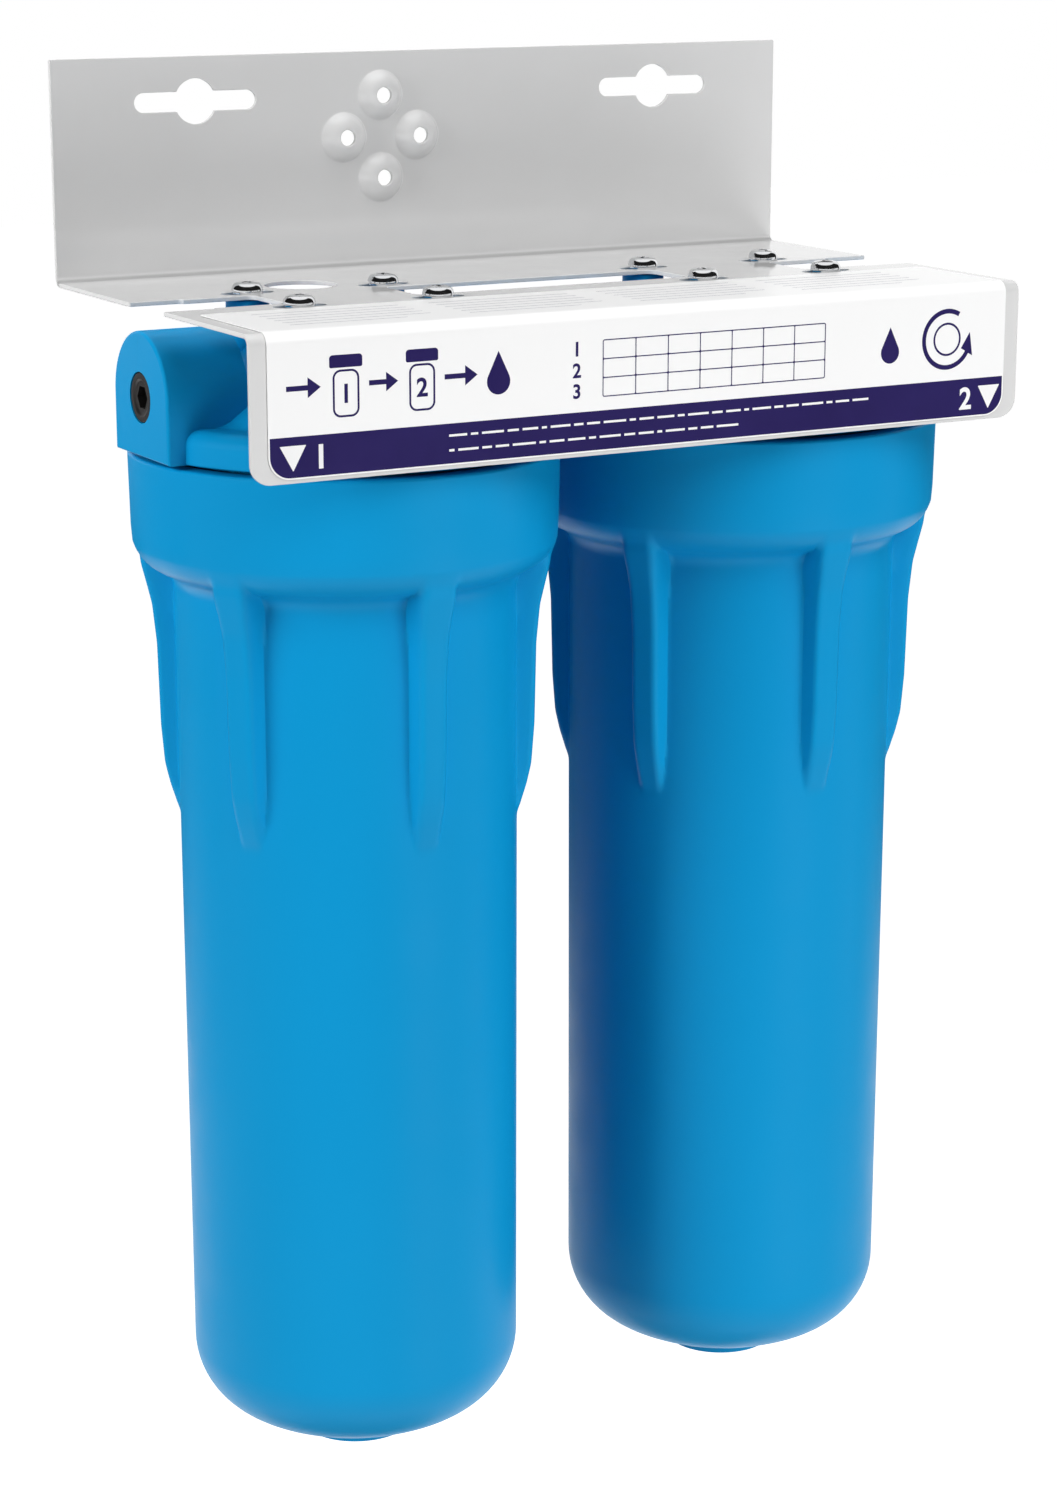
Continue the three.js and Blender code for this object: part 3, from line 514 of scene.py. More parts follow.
sump_corners = [
    (0, FOOT + 1.5), (12.2, FOOT + 1.5, 0.6), (13.2, FOOT, 0.5), (16.3, FOOT, 0.35),
    (16.5, FOOT + 3.2, 0.5)]
sump_corners += arc(DOME, DOME_RADIUS, -76.2, -61.5, 8)
sump_corners += arc(HEEL, HEEL_RADIUS, -58, 0, 12)
sump_corners += [
    (BODY_TOP_RADIUS, -74.6, 3.2), (58.1, -69.4, 6.0), (58.6, -40.5, 0.9), (52.6, -40.5, 0.8),
    (52.6, -63.5, 0.6), (46.5, -68.5, 1.0), (43.4, -72.0, 1.5)]
sump_corners += arc(HEEL, HEEL_RADIUS - WALL, 0, -58, 12)
sump_corners += arc(DOME, DOME_RADIUS - WALL, -61.5, -74.3, 6)
sump_corners += [
    (19.0, POST_FOOT, 0.8), (12.8, POST_FOOT), (12.8, POST_TOP, 0.9), (8.6, POST_TOP, 0.5),
    (8.6, POST_FLOOR, 0.8), (0, POST_FLOOR)]
print(len(sump_corners), "corners in the sump's outline")

# %% [markdown]
# ## The grip ribs
#
# Six ribs run down from the collar for a strap wrench. They melt into the collar and the body, so they
# aren't stuck on: the spun surface itself is pushed out. Down the rib two tables give its height and half
# width, and across it the crest is flat in the middle, rounds off and falls steeply. A soft maximum of body
# and rib makes the fillet.

# %% Shape of one rib
RIBS = 6
RIB_TOP = -66.2
RIB_LENGTH = 78.5
DOWN_SHARES = (0, 0.083, 0.153, 0.229, 0.369, 0.662, 0.803, 0.879, 0.955, 1)
PROUD = (10.3, 9.5, 8.2, 6.8, 5.75, 5.25, 4.4, 3.05, 1.2, -1.2)
HALF_WIDTH = (5.8, 4.9, 4.3, 4.15, 4.05, 4.05, 4.05, 4.0, 3.7, 3.0)
CREST_FLAT = 0.5
CREST_DROP = 1.9
SIDE_SLOPE = 6


def along(down, values):
    if down <= 0:
        return values[0]
    for i in range(len(values) - 1):
        if down <= DOWN_SHARES[i + 1]:
            share = (down - DOWN_SHARES[i]) / (DOWN_SHARES[i + 1] - DOWN_SHARES[i])
            return values[i] + (values[i + 1] - values[i]) * share
    return values[-1]


def soft_maximum(first, second, blend):
    near = max(blend - abs(first - second), 0) / blend
    return max(first, second) + near * near * blend / 4


def rib_surface(height, across):
    down = (RIB_TOP - height) / RIB_LENGTH
    half = along(down, HALF_WIDTH)
    crest = BODY_FOOT_RADIUS + along(down, PROUD)
    edge = abs(across) / half
    if edge <= CREST_FLAT:
        return crest
    if edge <= 1:
        bend = (edge - CREST_FLAT) / (1 - CREST_FLAT)
        return crest - CREST_DROP * (1 - math.sqrt(1 - bend * bend * 0.96))
    return crest - CREST_DROP * 0.8 - (edge - 1) * half * SIDE_SLOPE


# %% [markdown]
# Before the ribs are pushed out, the outline gets many short steps where they are. The turned columns are
# then crowded towards each rib, so that its steep sides have enough faces: a crowding of 1 would leave them
# even.

# %% Turn the sump and push the ribs out
SUMP_COLUMNS = 300
WALL_RADIUS = 45.8
ZONE_FOOT = -150
ZONE_TOP = -60
ROW_HEIGHT = 1.2
CROWDING = 0.42
FILLET = 1.6


def outer_wall(edge):
    return min(corner.co.x for corner in edge.verts) > WALL_RADIUS


def sump_body():
    bm = outline(sump_corners)
    for edge in bm.edges[:]:
        low, high = sorted(corner.co.z for corner in edge.verts)
        if outer_wall(edge) and low < ZONE_FOOT < high:
            bmesh.ops.bisect_plane(
                bm, geom=[edge, *edge.verts], plane_co=(0, 0, ZONE_FOOT), plane_no=(0, 0, 1))
    for edge in bm.edges[:]:
        low, high = sorted(corner.co.z for corner in edge.verts)
        in_zone = low > ZONE_FOOT - 0.5 and high < ZONE_TOP
        if outer_wall(edge) and in_zone and edge.calc_length() > 2:
            bmesh.ops.subdivide_edges(bm, edges=[edge], cuts=int(edge.calc_length() / ROW_HEIGHT))
    return spin(bm, SUMP_COLUMNS)


def on_the_wall(point, low, high):
    return math.hypot(point.co.x, point.co.y) > WALL_RADIUS and low < point.co.z < high


def ribbed(bm):
    sector = FULL_TURN / RIBS
    for point in bm.verts:
        radius = math.hypot(point.co.x, point.co.y)
        if radius < 0.01:
            continue
        angle = math.atan2(point.co.y, point.co.x) + QUARTER_TURN
        rib = round(angle / sector)
        share = (angle - rib * sector) / (sector / 2)
        turn = share * (CROWDING + (1 - CROWDING) * abs(share) ** 3) * sector / 2
        if on_the_wall(point, ZONE_FOOT + 2, ZONE_TOP - 1):
            out = rib_surface(point.co.z, radius * math.sin(turn)) / math.cos(turn)
            radius = soft_maximum(radius, out, FILLET)
        angle = rib * sector + turn - QUARTER_TURN
        point.co.x = radius * math.cos(angle)
        point.co.y = radius * math.sin(angle)
    return bm


# %% [markdown]
# Raw tables leave small kinks down the rib. A light smoothing of the ribbed zone alone takes them away, as
# polishing does in the mould. The thread inside the collar is a ridge of its own, wound up the wall.

# %% Polish the ribbed zone and add the thread
THREAD_LEAD = 6


def polished(bm):
    zone = [point for point in bm.verts if on_the_wall(point, ZONE_FOOT + 1, ZONE_TOP - 3)]
    bmesh.ops.smooth_vert(
        bm, verts=zone, factor=0.5, use_axis_x=True, use_axis_y=True, use_axis_z=True)
    return bm


for side, place in HOUSINGS:
    ridge = thread(
        wall=53.2, crest=50.6, crest_width=2.2, lead=THREAD_LEAD, turns=2.2, start_height=-61.1,
        start_turn=-0.6)
    set_down(
        side + "_ribbed_sump", gathered(polished(ribbed(sump_body())), ridge), place,
        side + "_sump", blue_plastic, [side + "_sump"], crisp=40)

# %% [markdown]
# ## The cap
#
# The cap stays on the bracket. Turned about its axis it has a flat crown, a cone, a rounded rim and a
# threaded skirt that reaches down into the sump. Two arched port blocks stand on the cone, one for the pipe
# that comes in and one for the pipe that leaves.

# %% Body and cavity of the cap
RIM_BOTTOM = -39.3
SKIRT_RADIUS = 50
SKIRT_BOTTOM = -62.5
CROWN_INSIDE = -15
SPIGOT_RADIUS = 12.8
SPIGOT_BORE = 8.6

cap_corners = [
    (0, -10), (21, -10, 6), (46.6, -30.2, 2.5), (57.0, -30.2, 4.0), (57.0, RIM_BOTTOM, 0.6),
    (SKIRT_RADIUS, RIM_BOTTOM, 0.3), (SKIRT_RADIUS, -40.8, 0.2), (48.2, -40.8), (48.2, -45.0),
    (SKIRT_RADIUS, -45.0, 0.2), (SKIRT_RADIUS, SKIRT_BOTTOM, 1.0), (0, SKIRT_BOTTOM)]

cavity_corners = [
    (0, CROWN_INSIDE), (SPIGOT_BORE, CROWN_INSIDE), (SPIGOT_BORE, -63.2, 0.3), (11.9, -63.2, 0.3),
    (SPIGOT_RADIUS, -62.0, 0.3), (SPIGOT_RADIUS, -55.7), (18, -55.7, 0.3), (18, -52.7, 0.3),
    (SPIGOT_RADIUS, -52.7, 0.8), (SPIGOT_RADIUS, CROWN_INSIDE, 1.5), (21, CROWN_INSIDE),
    (44.6, -33.3), (44.6, -62.2), (45.4, -63), (45.4, -70), (0, -70)]


# %% [markdown]
# A port block is an arch: a rectangle whose two upper corners are bevelled by half its width. The arch is
# pulled along the filter and the edge round its outer face is softened.


# %% Arched port block
PORT_DROP = -23.5
PORT_REACH = 59.3
BLOCK_HALF = 17.4
BLOCK_START = 36.0


def port_block(side):
    bm = bmesh.new()
    crown = PORT_DROP + BLOCK_HALF
    corners = [
        (-BLOCK_HALF, RIM_BOTTOM), (BLOCK_HALF, RIM_BOTTOM), (BLOCK_HALF, crown),
        (-BLOCK_HALF, crown)]
    arch = bm.faces.new([bm.verts.new((side * BLOCK_START, y, z)) for y, z in corners])
    top = [point for point in arch.verts if point.co.z > PORT_DROP]
    rounded(bm, top, BLOCK_HALF * 0.9999, 24)
    pulled = bmesh.ops.extrude_face_region(bm, geom=bm.faces[:])["geom"]
    moved = [part for part in pulled if isinstance(part, bmesh.types.BMVert)]
    bmesh.ops.translate(bm, verts=moved, vec=(side * (PORT_REACH - BLOCK_START), 0, 0))
    outer = [edge for edge in bm.edges if all(abs(p.co.x) > PORT_REACH - 0.01 for p in edge.verts)]
    rounded(bm, outer, 0.9, 4, "EDGES")
    bmesh.ops.recalc_face_normals(bm, faces=bm.faces)
    return bm


# %% [markdown]
# Four bosses take the screws from above. The first cap also has a short boss behind its crown for the
# pressure relief button. Everything is joined first, then the water ways are cut: the two ports, their
# shafts, and a low duct that leads from the outlet to the spigot in the middle.


# %% Join and cut one cap
SCREWS = [(-20.5, 16.25), (20.5, 16.25), (-20.5, -16.25), (20.5, -16.25)]
SCREW_BOSS = [(0, -1.5), (5.9, -1.5, 0.5), (6.2, -21), (0, -21)]
RELIEF_Y = 26.0
RELIEF_BOSS = [(0, -9), (8, -9, 0.7), (8.2, -24), (0, -24)]
RELIEF_SEAT, RELIEF_WELL, STEM_HOLE = 5.6, 4.7, 2.1
PORT_BORE, SHAFT_BORE, SCREW_HOLE = 6.8, 3.9, 2.2
SHAFT_OUT = 43.5
DUCT_OUTSIDE, DUCT_BORE = 8.2, 4.2
DUCT_DROP = -36


def boss(corners, x, y, sides):
    form = turned(corners, sides)
    bmesh.ops.translate(form, verts=form.verts, vec=(x, y, 0))
    return form


def cap_form(has_relief):
    cap = turned(cap_corners, 180)
    for side in (-1, 1):
        cap = joined(cap, port_block(side))
    for x, y in SCREWS:
        cap = joined(cap, boss(SCREW_BOSS, x, y, 48))
    if has_relief:
        cap = joined(cap, boss(RELIEF_BOSS, 0, RELIEF_Y, 56))
    cap = cut(cap, turned(cavity_corners, 120))
    cap = joined(cap, lying_bar(DUCT_OUTSIDE, 12, SHAFT_OUT + 1.7, DUCT_DROP))
    if has_relief:
        cap = joined(cap, upright_bar(RELIEF_SEAT, -23.84, -14.4, 0, RELIEF_Y))
    for side in (-1, 1):
        cap = cut(cap, lying_bar(PORT_BORE, side * 41, side * 61, PORT_DROP))
        cap = cut(cap, upright_bar(SHAFT_BORE, DUCT_DROP, PORT_DROP, side * SHAFT_OUT))
    cap = cut(cap, lying_bar(DUCT_BORE, 0, SHAFT_OUT, DUCT_DROP))
    cap = cut(cap, upright_bar(SPIGOT_BORE, -66, CROWN_INSIDE))
    for x, y in SCREWS:
        cap = cut(cap, upright_bar(SCREW_HOLE, -15, 1, x, y, 24))
    if has_relief:
        cap = cut(cap, upright_bar(RELIEF_WELL, -14.8, -7, 0, RELIEF_Y))
        cap = cut(cap, upright_bar(STEM_HOLE, -30, -10, 0, RELIEF_Y, 32))
    return cap


# %% Set both caps down
for side, place in HOUSINGS:
    ridge = thread(
        wall=49.4, crest=52.0, crest_width=1.2, lead=THREAD_LEAD, turns=2,
        start_height=SKIRT_BOTTOM + 2)
    set_down(
        side + "_moulded_cap", gathered(cap_form(side == "left"), ridge), place, "housing",
        blue_plastic, [side + "_cap"], crisp=30)

# %% [markdown]
# ## Sealing rings
#
# A rubber ring in a groove of each cap's skirt seals the sump. A circle turned about the axis is all it
# takes.


# %% Round rings
def ring(middle, radius, height, sides=120):
    corners = arc((middle, height), radius, 0, 345, 23)
    return turned(corners, sides, closed=True)


for side, place in HOUSINGS:
    set_down(
        side + "_round_seal", ring(middle=50.2, radius=1.8, height=-42.9), place, "housing",
        black_rubber, [side + "_seal_ring"])

# %% [markdown]
# ## Screws
#
# Eight chromed screws with pan heads hold the caps. The head is turned, and the recess for the screwdriver
# is a tapered cross that is cut into it. A fine thread runs up the shank, hidden in its boss. No two screws
# stop at the same angle, so each has its own turn.


# %% One screw
def tapered_bar(length, width, depth, top):
    bm = bmesh.new()
    bmesh.ops.create_cube(bm, size=1)
    bmesh.ops.scale(bm, vec=(length, width, depth), verts=bm.verts)
    bmesh.ops.translate(bm, vec=(0, 0, top - depth / 2), verts=bm.verts)
    foot = [point for point in bm.verts if point.co.z < top - depth / 2]
    bmesh.ops.scale(bm, vec=(0.4, 0.75, 1), verts=foot)
    return bm


def screw_form(turn):
    bm = turned([
        (0, 3.0), (2.1, 2.92, 1.2), (4.2, 2.3, 1.3), (4.3, 0.25, 0.15), (4.15, 0), (1.55, 0),
        (1.55, -11.9, 0.4), (0, -13.5)], 64)
    for quarter in (0, QUARTER_TURN):
        arm = tapered_bar(length=4.6, width=0.95, depth=2.6, top=3.9)
        bmesh.ops.rotate(
            arm, cent=(0, 0, 0), matrix=Matrix.Rotation(turn + quarter, 3, "Z"), verts=arm.verts)
        bm = cut(bm, arm)
    ridge = thread(
        wall=1.45, crest=1.85, crest_width=0.15, lead=1.2, turns=8.5, start_height=-11.6,
        per_turn=16)
    return gathered(bm, ridge)


# %% Set the eight screws down
SCREW_TURNS = {"left": (12, 58, 33, 80), "right": (47, 5, 71, 26)}

for side, place in HOUSINGS:
    for i, ((x, y), turn) in enumerate(zip(SCREWS, SCREW_TURNS[side])):
        set_down(
            f"{side}_pan_screw_{i + 1}", screw_form(math.radians(turn)), place + Vector((x, y, 0)),
            "housing", chrome, [f"{side}_screw_{i + 1}"], crisp=35)

# %% [markdown]
# ## Plugs and nipple
#
# The filter is sold with its ports closed by black plugs, each with a six-sided socket for a key. Between
# the two caps sits a short nipple with a six-sided collar. All of them lie along the filter, so they are
# turned upright and laid over.


# %% Port plugs
PLUG_FACE = PORT_REACH - 0.15
PLUG_RADIUS = 6.65
PLUG_LENGTH = 12
SOCKET_RADIUS, SOCKET_DEPTH = 3.3, 8


def laid(bm, direction, z):
    turn = Matrix.Rotation(direction * QUARTER_TURN, 4, "Y")
    bmesh.ops.transform(bm, matrix=Matrix.Translation((0, 0, z)) @ turn, verts=bm.verts)
    return bm


def plug_form(direction):
    bm = turned([
        (0, PLUG_FACE - 0.5), (4.4, PLUG_FACE - 0.5, 0.3), (4.9, PLUG_FACE, 0.3),
        (PLUG_RADIUS, PLUG_FACE, 0.5), (PLUG_RADIUS, PLUG_FACE - PLUG_LENGTH, 0.6),
        (0, PLUG_FACE - PLUG_LENGTH)], 64)
    socket = upright_bar(SOCKET_RADIUS, PLUG_FACE - SOCKET_DEPTH, PLUG_FACE + 2, sides=6)
    return laid(cut(bm, socket), direction, PORT_DROP)


for name, place, direction in (("inlet_plug", LEFT, -1), ("outlet_plug", RIGHT, 1)):
    set_down(
        "black_" + name, plug_form(direction), place, "housing", black_plastic,
        [name])

# %% Nipple between the caps
NIPPLE_HALF, NIPPLE_RADIUS, NIPPLE_BORE = 13.95, 6.5, 4.2
COLLAR_HALF, COLLAR_RADIUS = 2.45, 9.2


def nipple_form():
    body = turned([
        (0, -NIPPLE_HALF), (NIPPLE_RADIUS, -NIPPLE_HALF, 0.6), (NIPPLE_RADIUS, NIPPLE_HALF, 0.6),
        (0, NIPPLE_HALF)], 64)
    collar = upright_bar(COLLAR_RADIUS, -COLLAR_HALF, COLLAR_HALF, sides=6)
    rims = [edge for edge in collar.edges if abs(edge.verts[0].co.z - edge.verts[1].co.z) < 0.01]
    rounded(collar, rims, 0.4, 3, "EDGES")
    bore = upright_bar(NIPPLE_BORE, -NIPPLE_HALF - 2, NIPPLE_HALF + 2)
    return laid(cut(joined(body, collar), bore), 1, PORT_DROP)


set_down(
    "black_nipple", nipple_form(), (LEFT + RIGHT) / 2, "housing", black_plastic,
    ["joining_nipple"])

# %% [markdown]
# ## Cartridges
#
# Inside the first sump stands a spun fibre cartridge on a ribbed plastic core. Inside the second stands a
# carbon block in a net wrap, with a moulded cap and a rubber gasket at each end. They can't be seen while
# the filter is closed, but they are what the filter is for.

# %% Sediment cartridge
CARTRIDGE_TOP = -56.0
CARTRIDGE_LOW = -304.0
CARTRIDGE_RADIUS = 31.5
CARTRIDGE_BORE = 14
CORE_RADIUS, GROOVE_RADIUS = 16, 15.2
GROOVES, GROOVE_PITCH = 31, 8


def sleeve(outer, inner, low, high, outer_edge, inner_edge, sides=96):
    return turned([
        (outer, high, outer_edge), (outer, low, outer_edge), (inner, low, inner_edge),
        (inner, high, inner_edge)], sides, closed=True)


set_down(
    "spun_sediment_sleeve",
    sleeve(CARTRIDGE_RADIUS, 16.3, CARTRIDGE_LOW, CARTRIDGE_TOP, outer_edge=1.6, inner_edge=0.5),
    LEFT, "sediment_cartridge", spun_fibre, ["sediment_filter"])

core_corners = [
    (CARTRIDGE_BORE, CARTRIDGE_TOP), (CARTRIDGE_BORE, CARTRIDGE_LOW), (CORE_RADIUS, CARTRIDGE_LOW)]
for i in range(GROOVES):
    height = CARTRIDGE_LOW + 4 + GROOVE_PITCH * i
    core_corners += [
        (CORE_RADIUS, height), (GROOVE_RADIUS, height + 0.6), (GROOVE_RADIUS, height + 3.4),
        (CORE_RADIUS, height + 4)]
core_corners.append((CORE_RADIUS, CARTRIDGE_TOP))
set_down(
    "grooved_core", turned(core_corners, 64, closed=True), LEFT, "sediment_cartridge", white_plastic,
    ["sediment_core"])

# %% Carbon cartridge
GASKET = 3
CARBON_TOP = CARTRIDGE_TOP - GASKET - 0.3
CARBON_LOW = CARTRIDGE_LOW + GASKET + 0.3
CAP_DEPTH, CAP_WALL = 9.6, 2.6
BLOCK_TOP = CARBON_TOP - CAP_WALL - 0.3
BLOCK_LOW = CARBON_LOW + CAP_WALL + 0.3

set_down(
    "carbon_core_block", sleeve(27.8, CARTRIDGE_BORE, BLOCK_LOW, BLOCK_TOP, 0.5, 0.5),
    RIGHT, "carbon_cartridge", pressed_carbon, ["carbon_block"])
set_down(
    "net_sleeve", sleeve(29.8, 28.2, BLOCK_LOW, BLOCK_TOP, 0.3, 0.3),
    RIGHT, "carbon_cartridge", net_wrap, ["carbon_wrap"])


def end_cap(face, inwards):
    rim = face + inwards * CAP_DEPTH
    inside = face + inwards * CAP_WALL
    return turned([
        (CARTRIDGE_BORE, face, 0.4), (CARTRIDGE_RADIUS, face, 0.9), (CARTRIDGE_RADIUS, rim, 0.3),
        (30.1, rim, 0.3), (30.1, inside), (CARTRIDGE_BORE, inside)], 96, closed=True)


for name, face, inwards in (("upper", CARBON_TOP, -1), ("lower", CARBON_LOW, 1)):
    set_down(
        f"moulded_{name}_end", end_cap(face, inwards), RIGHT, "carbon_cartridge", white_plastic,
        [f"carbon_{name}_cap"])
for name, low in (("upper", CARTRIDGE_TOP - GASKET), ("lower", CARTRIDGE_LOW)):
    set_down(
        f"flat_{name}_gasket", sleeve(19, CARTRIDGE_BORE, low, low + GASKET, 0.4, 0.4, sides=72),
        RIGHT, "carbon_cartridge", black_rubber, [f"carbon_{name}_gasket"])

# %% [markdown]
# ## Pressure relief button
#
# Through the round hole in the flange a finger reaches a red button on the first cap. Its stem ends in a
# disc that holds a small ring against the cap from inside. A spring of two turns lifts the head: a circle of
# wire is spun round the axis while it climbs. It is squeezed to just over half its height when the button
# goes down.

# %% Button, ring and spring
def coil(radius, wire, lead, turns, low, per_turn=32):
    bm = bmesh.new()
    upright = Matrix.Translation((radius, 0, low)) @ Matrix.Rotation(QUARTER_TURN, 4, "X")
    bmesh.ops.create_circle(bm, cap_ends=True, segments=12, radius=wire / 2, matrix=upright)
    return wound(bm, bm.faces[:][0], lead, turns, per_turn)


RELIEF = LEFT + Vector((0, RELIEF_Y, 0))
set_down(
    "round_relief_button",
    turned([
        (0, -6.95), (2.6, -6.95, 0.5), (3.2, -6.6, 0.2), (4.3, -6.6, 0.4), (4.3, -10.8, 0.2),
        (1.7, -10.8, 0.2), (1.7, -26.04), (3.9, -26.04, 0.2), (3.9, -27.64, 0.3), (0, -27.64)], 48),
    RELIEF, "relief_valve", red_plastic, ["relief_button"])
set_down(
    "small_round_seal", ring(middle=2.9, radius=0.8, height=-24.94, sides=48), RELIEF,
    "relief_valve", black_rubber, ["relief_seal"])
spring = set_down(
    "two_turn_spring", coil(radius=3.1, wire=0.6, lead=1.4, turns=2, low=-14.05), RELIEF,
    "housing", spring_wire, ["relief_spring"])
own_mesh(spring)

# %% [markdown]
# ## The bracket
#
# The bracket is one sheet of steel, 1.2 mm thick, cut out flat and bent twice: a rear plate on the wall, a
# flange on which everything hangs, and an apron in front. Only its upper and front skin is drawn. Each panel
# is an outline with the outlines of its holes, filled in one go, and each bend is the panel's edge spun
# through a quarter turn. Solidify then gives the sheet its thickness.

# %% Sizes of the sheet
SHEET = 1.2
HALF = 117.3
REAR_RISE = 60.4
DEPTH = 127.2
APRON_LOW = -37.8
BEND = 3.0


# %% Loops and panels
def loop(bm, corners, steps=8):
    draw_line(bm, corners, [(corner[0], corner[1], 0) for corner in corners], True, steps)


def box_loop(bm, x, y, width, height, radius, steps=8):
    left, right, low, high = x - width / 2, x + width / 2, y - height / 2, y + height / 2
    radius = min(radius, width / 2 * 0.9999, height / 2 * 0.9999)
    corners = [(left, low, radius), (right, low, radius), (right, high, radius), (left, high, radius)]
    loop(bm, corners, steps)


def ring_loop(bm, x, y, radius, sides=48):
    bmesh.ops.create_circle(bm, segments=sides, radius=radius, matrix=Matrix.Translation((x, y, 0)))


def filled(bm):
    bmesh.ops.triangle_fill(bm, edges=bm.edges[:], use_beauty=True, use_dissolve=False)
    bmesh.ops.dissolve_limit(
        bm, angle_limit=0.01, use_dissolve_boundaries=False, verts=bm.verts, edges=bm.edges)
    return bm


# %% [markdown]
# A keyhole is a slot with a round eye in its middle. Where the slot meets the eye the outline turns a
# corner, so the loop follows the lower half of the eye, one end of the slot, the upper half and the other
# end.


# %% Keyhole loop
KEYHOLE_X = 74.3
KEYHOLE_Z = 48.0
KEYHOLE_HALF_LENGTH = 18.45
KEYHOLE_HALF_HEIGHT = 2.7
KEYHOLE_EYE = 6.3


def keyhole_loop(bm, x, z):
    open_angle = math.degrees(math.asin(KEYHOLE_HALF_HEIGHT / KEYHOLE_EYE))
    reach = KEYHOLE_HALF_LENGTH - KEYHOLE_HALF_HEIGHT
    corners = arc((x, z), KEYHOLE_EYE, 180 + open_angle, 360 - open_angle, 20)
    corners += arc((x + reach, z), KEYHOLE_HALF_HEIGHT, -90, 90, 12)
    corners += arc((x, z), KEYHOLE_EYE, open_angle, 180 - open_angle, 20)
    corners += arc((x - reach, z), KEYHOLE_HALF_HEIGHT, 90, 270, 12)
    loop(bm, corners)


# %% Rear plate
DIMPLE_ROOT = 8.2
DIMPLE_OFFSET = 11.65
DIMPLES = [
    (-16.9 + DIMPLE_OFFSET * x, 36.4 + DIMPLE_OFFSET * z)
    for x, z in ((1, 0), (0, 1), (-1, 0), (0, -1))]


def stood_up(bm, y, x=0, z=0):
    turn = Matrix.Rotation(QUARTER_TURN, 4, "X")
    bmesh.ops.transform(bm, matrix=Matrix.Translation((x, y, z)) @ turn, verts=bm.verts)
    return bm


def rear_plate():
    bm = bmesh.new()
    loop(bm, [(-HALF, BEND - SHEET), (HALF, BEND - SHEET), (HALF, REAR_RISE), (-HALF, REAR_RISE)])
    for side in (-1, 1):
        keyhole_loop(bm, side * KEYHOLE_X, KEYHOLE_Z)
    for x, z in DIMPLES:
        ring_loop(bm, x, z, DIMPLE_ROOT)
    return stood_up(filled(bm), -SHEET)


# %% [markdown]
# Four dimples with a hole in each are pressed out of the rear plate towards the front. A dimple is a turned
# slope from the plate to the rim of its hole, soft at its foot and at its crown.


# %% Dimples
def dimple(x, z):
    corners = [(DIMPLE_ROOT, 0), (7.0, 0, 0.3), (5.9, 1.7, 1.6), (3.7, 2.85, 0.9), (2.35, 3.0)]
    return stood_up(turned(corners, 48, steps=4), -SHEET, x, z)


# %% [markdown]
# The flange has a notch at each end for a pipe fitting, a window between the caps, a slot under every screw
# and one round hole above the relief button.


# %% Flange
NOTCH_HALF = 10.0
NOTCH_END = 81.75
MOUTH_HALF = 11.2
MOUTH_END = 102.5
WINDOW_LENGTH = 85.5
SLOT_LENGTH = 15.2
SLOT_WIDTH = 5.2
ACCESS_RADIUS = 10


def flange():
    bm = bmesh.new()
    corners = []
    for side, first, last in ((1, -BEND, BEND - DEPTH), (-1, BEND - DEPTH, -BEND)):
        half, mouth = side * NOTCH_HALF, side * MOUTH_HALF
        mouth_end, notch_end = side * MOUTH_END, side * NOTCH_END
        corners += [
            (side * HALF, first), (side * HALF, AXIS_Y + mouth, 0.6),
            (mouth_end, AXIS_Y + mouth, 1.2), (mouth_end, AXIS_Y + half, 0.5),
            (notch_end, AXIS_Y + half, 2.5), (notch_end, AXIS_Y - half, 2.5),
            (mouth_end, AXIS_Y - half, 0.5), (mouth_end, AXIS_Y - mouth, 1.2),
            (side * HALF, AXIS_Y - mouth, 0.6), (side * HALF, last)]
    loop(bm, corners)
    box_loop(bm, 0, AXIS_Y, WINDOW_LENGTH, 2 * NOTCH_HALF, 2.5)
    for place in (LEFT, RIGHT):
        for x, y in SCREWS:
            box_loop(
                bm, place.x + x, AXIS_Y + y, SLOT_LENGTH, SLOT_WIDTH, SLOT_WIDTH / 2, steps=12)
    ring_loop(bm, RELIEF.x, RELIEF.y, ACCESS_RADIUS, 64)
    return filled(bm)


# %% Apron and bends
def apron(half, low, corner, lift=0):
    bm = bmesh.new()
    loop(bm, [(-half, low, corner), (half, low, corner), (half, -BEND), (-half, -BEND)], 12)
    return stood_up(filled(bm), -DEPTH - lift)


def bend(half, y, z, centre, angle):
    bm = bmesh.new()
    bm.edges.new([bm.verts.new((x, y, z)) for x in (-half, half)])
    return swept(bm, angle, 12, centre=centre, axis=(1, 0, 0))


# %% [markdown]
# The skin has to be one surface that faces up and forward. Its parts are gathered, the doubled seams merge,
# and the normals are set before Solidify puts the thickness behind them. A small bevel takes the edge off
# the cut sheet. Both modifiers move before the one that evens the shading.

# %% Fold the bracket
REAR_CENTRE = (0, -BEND, BEND - SHEET)
FRONT_CENTRE = (0, BEND - DEPTH, -BEND)

skin = gathered(
    rear_plate(), *[dimple(x, z) for x, z in DIMPLES],
    bend(HALF, -SHEET, BEND - SHEET, REAR_CENTRE, -QUARTER_TURN), flange(),
    bend(HALF, BEND - DEPTH, 0, FRONT_CENTRE, QUARTER_TURN), apron(HALF, APRON_LOW, 5.5))
bmesh.ops.remove_doubles(skin, verts=skin.verts, dist=0.002)
open_edges = sum(1 for edge in skin.edges if edge.is_boundary)
print("bracket skin:", len(skin.faces), "faces,", open_edges, "open edges")
bracket = set_down(
    "bent_steel_bracket", skin, BRACKET, "housing", grey_paint, ["mounting_bracket"],
    crisp=30, panels=True, looks=(0, -1, 0.3))


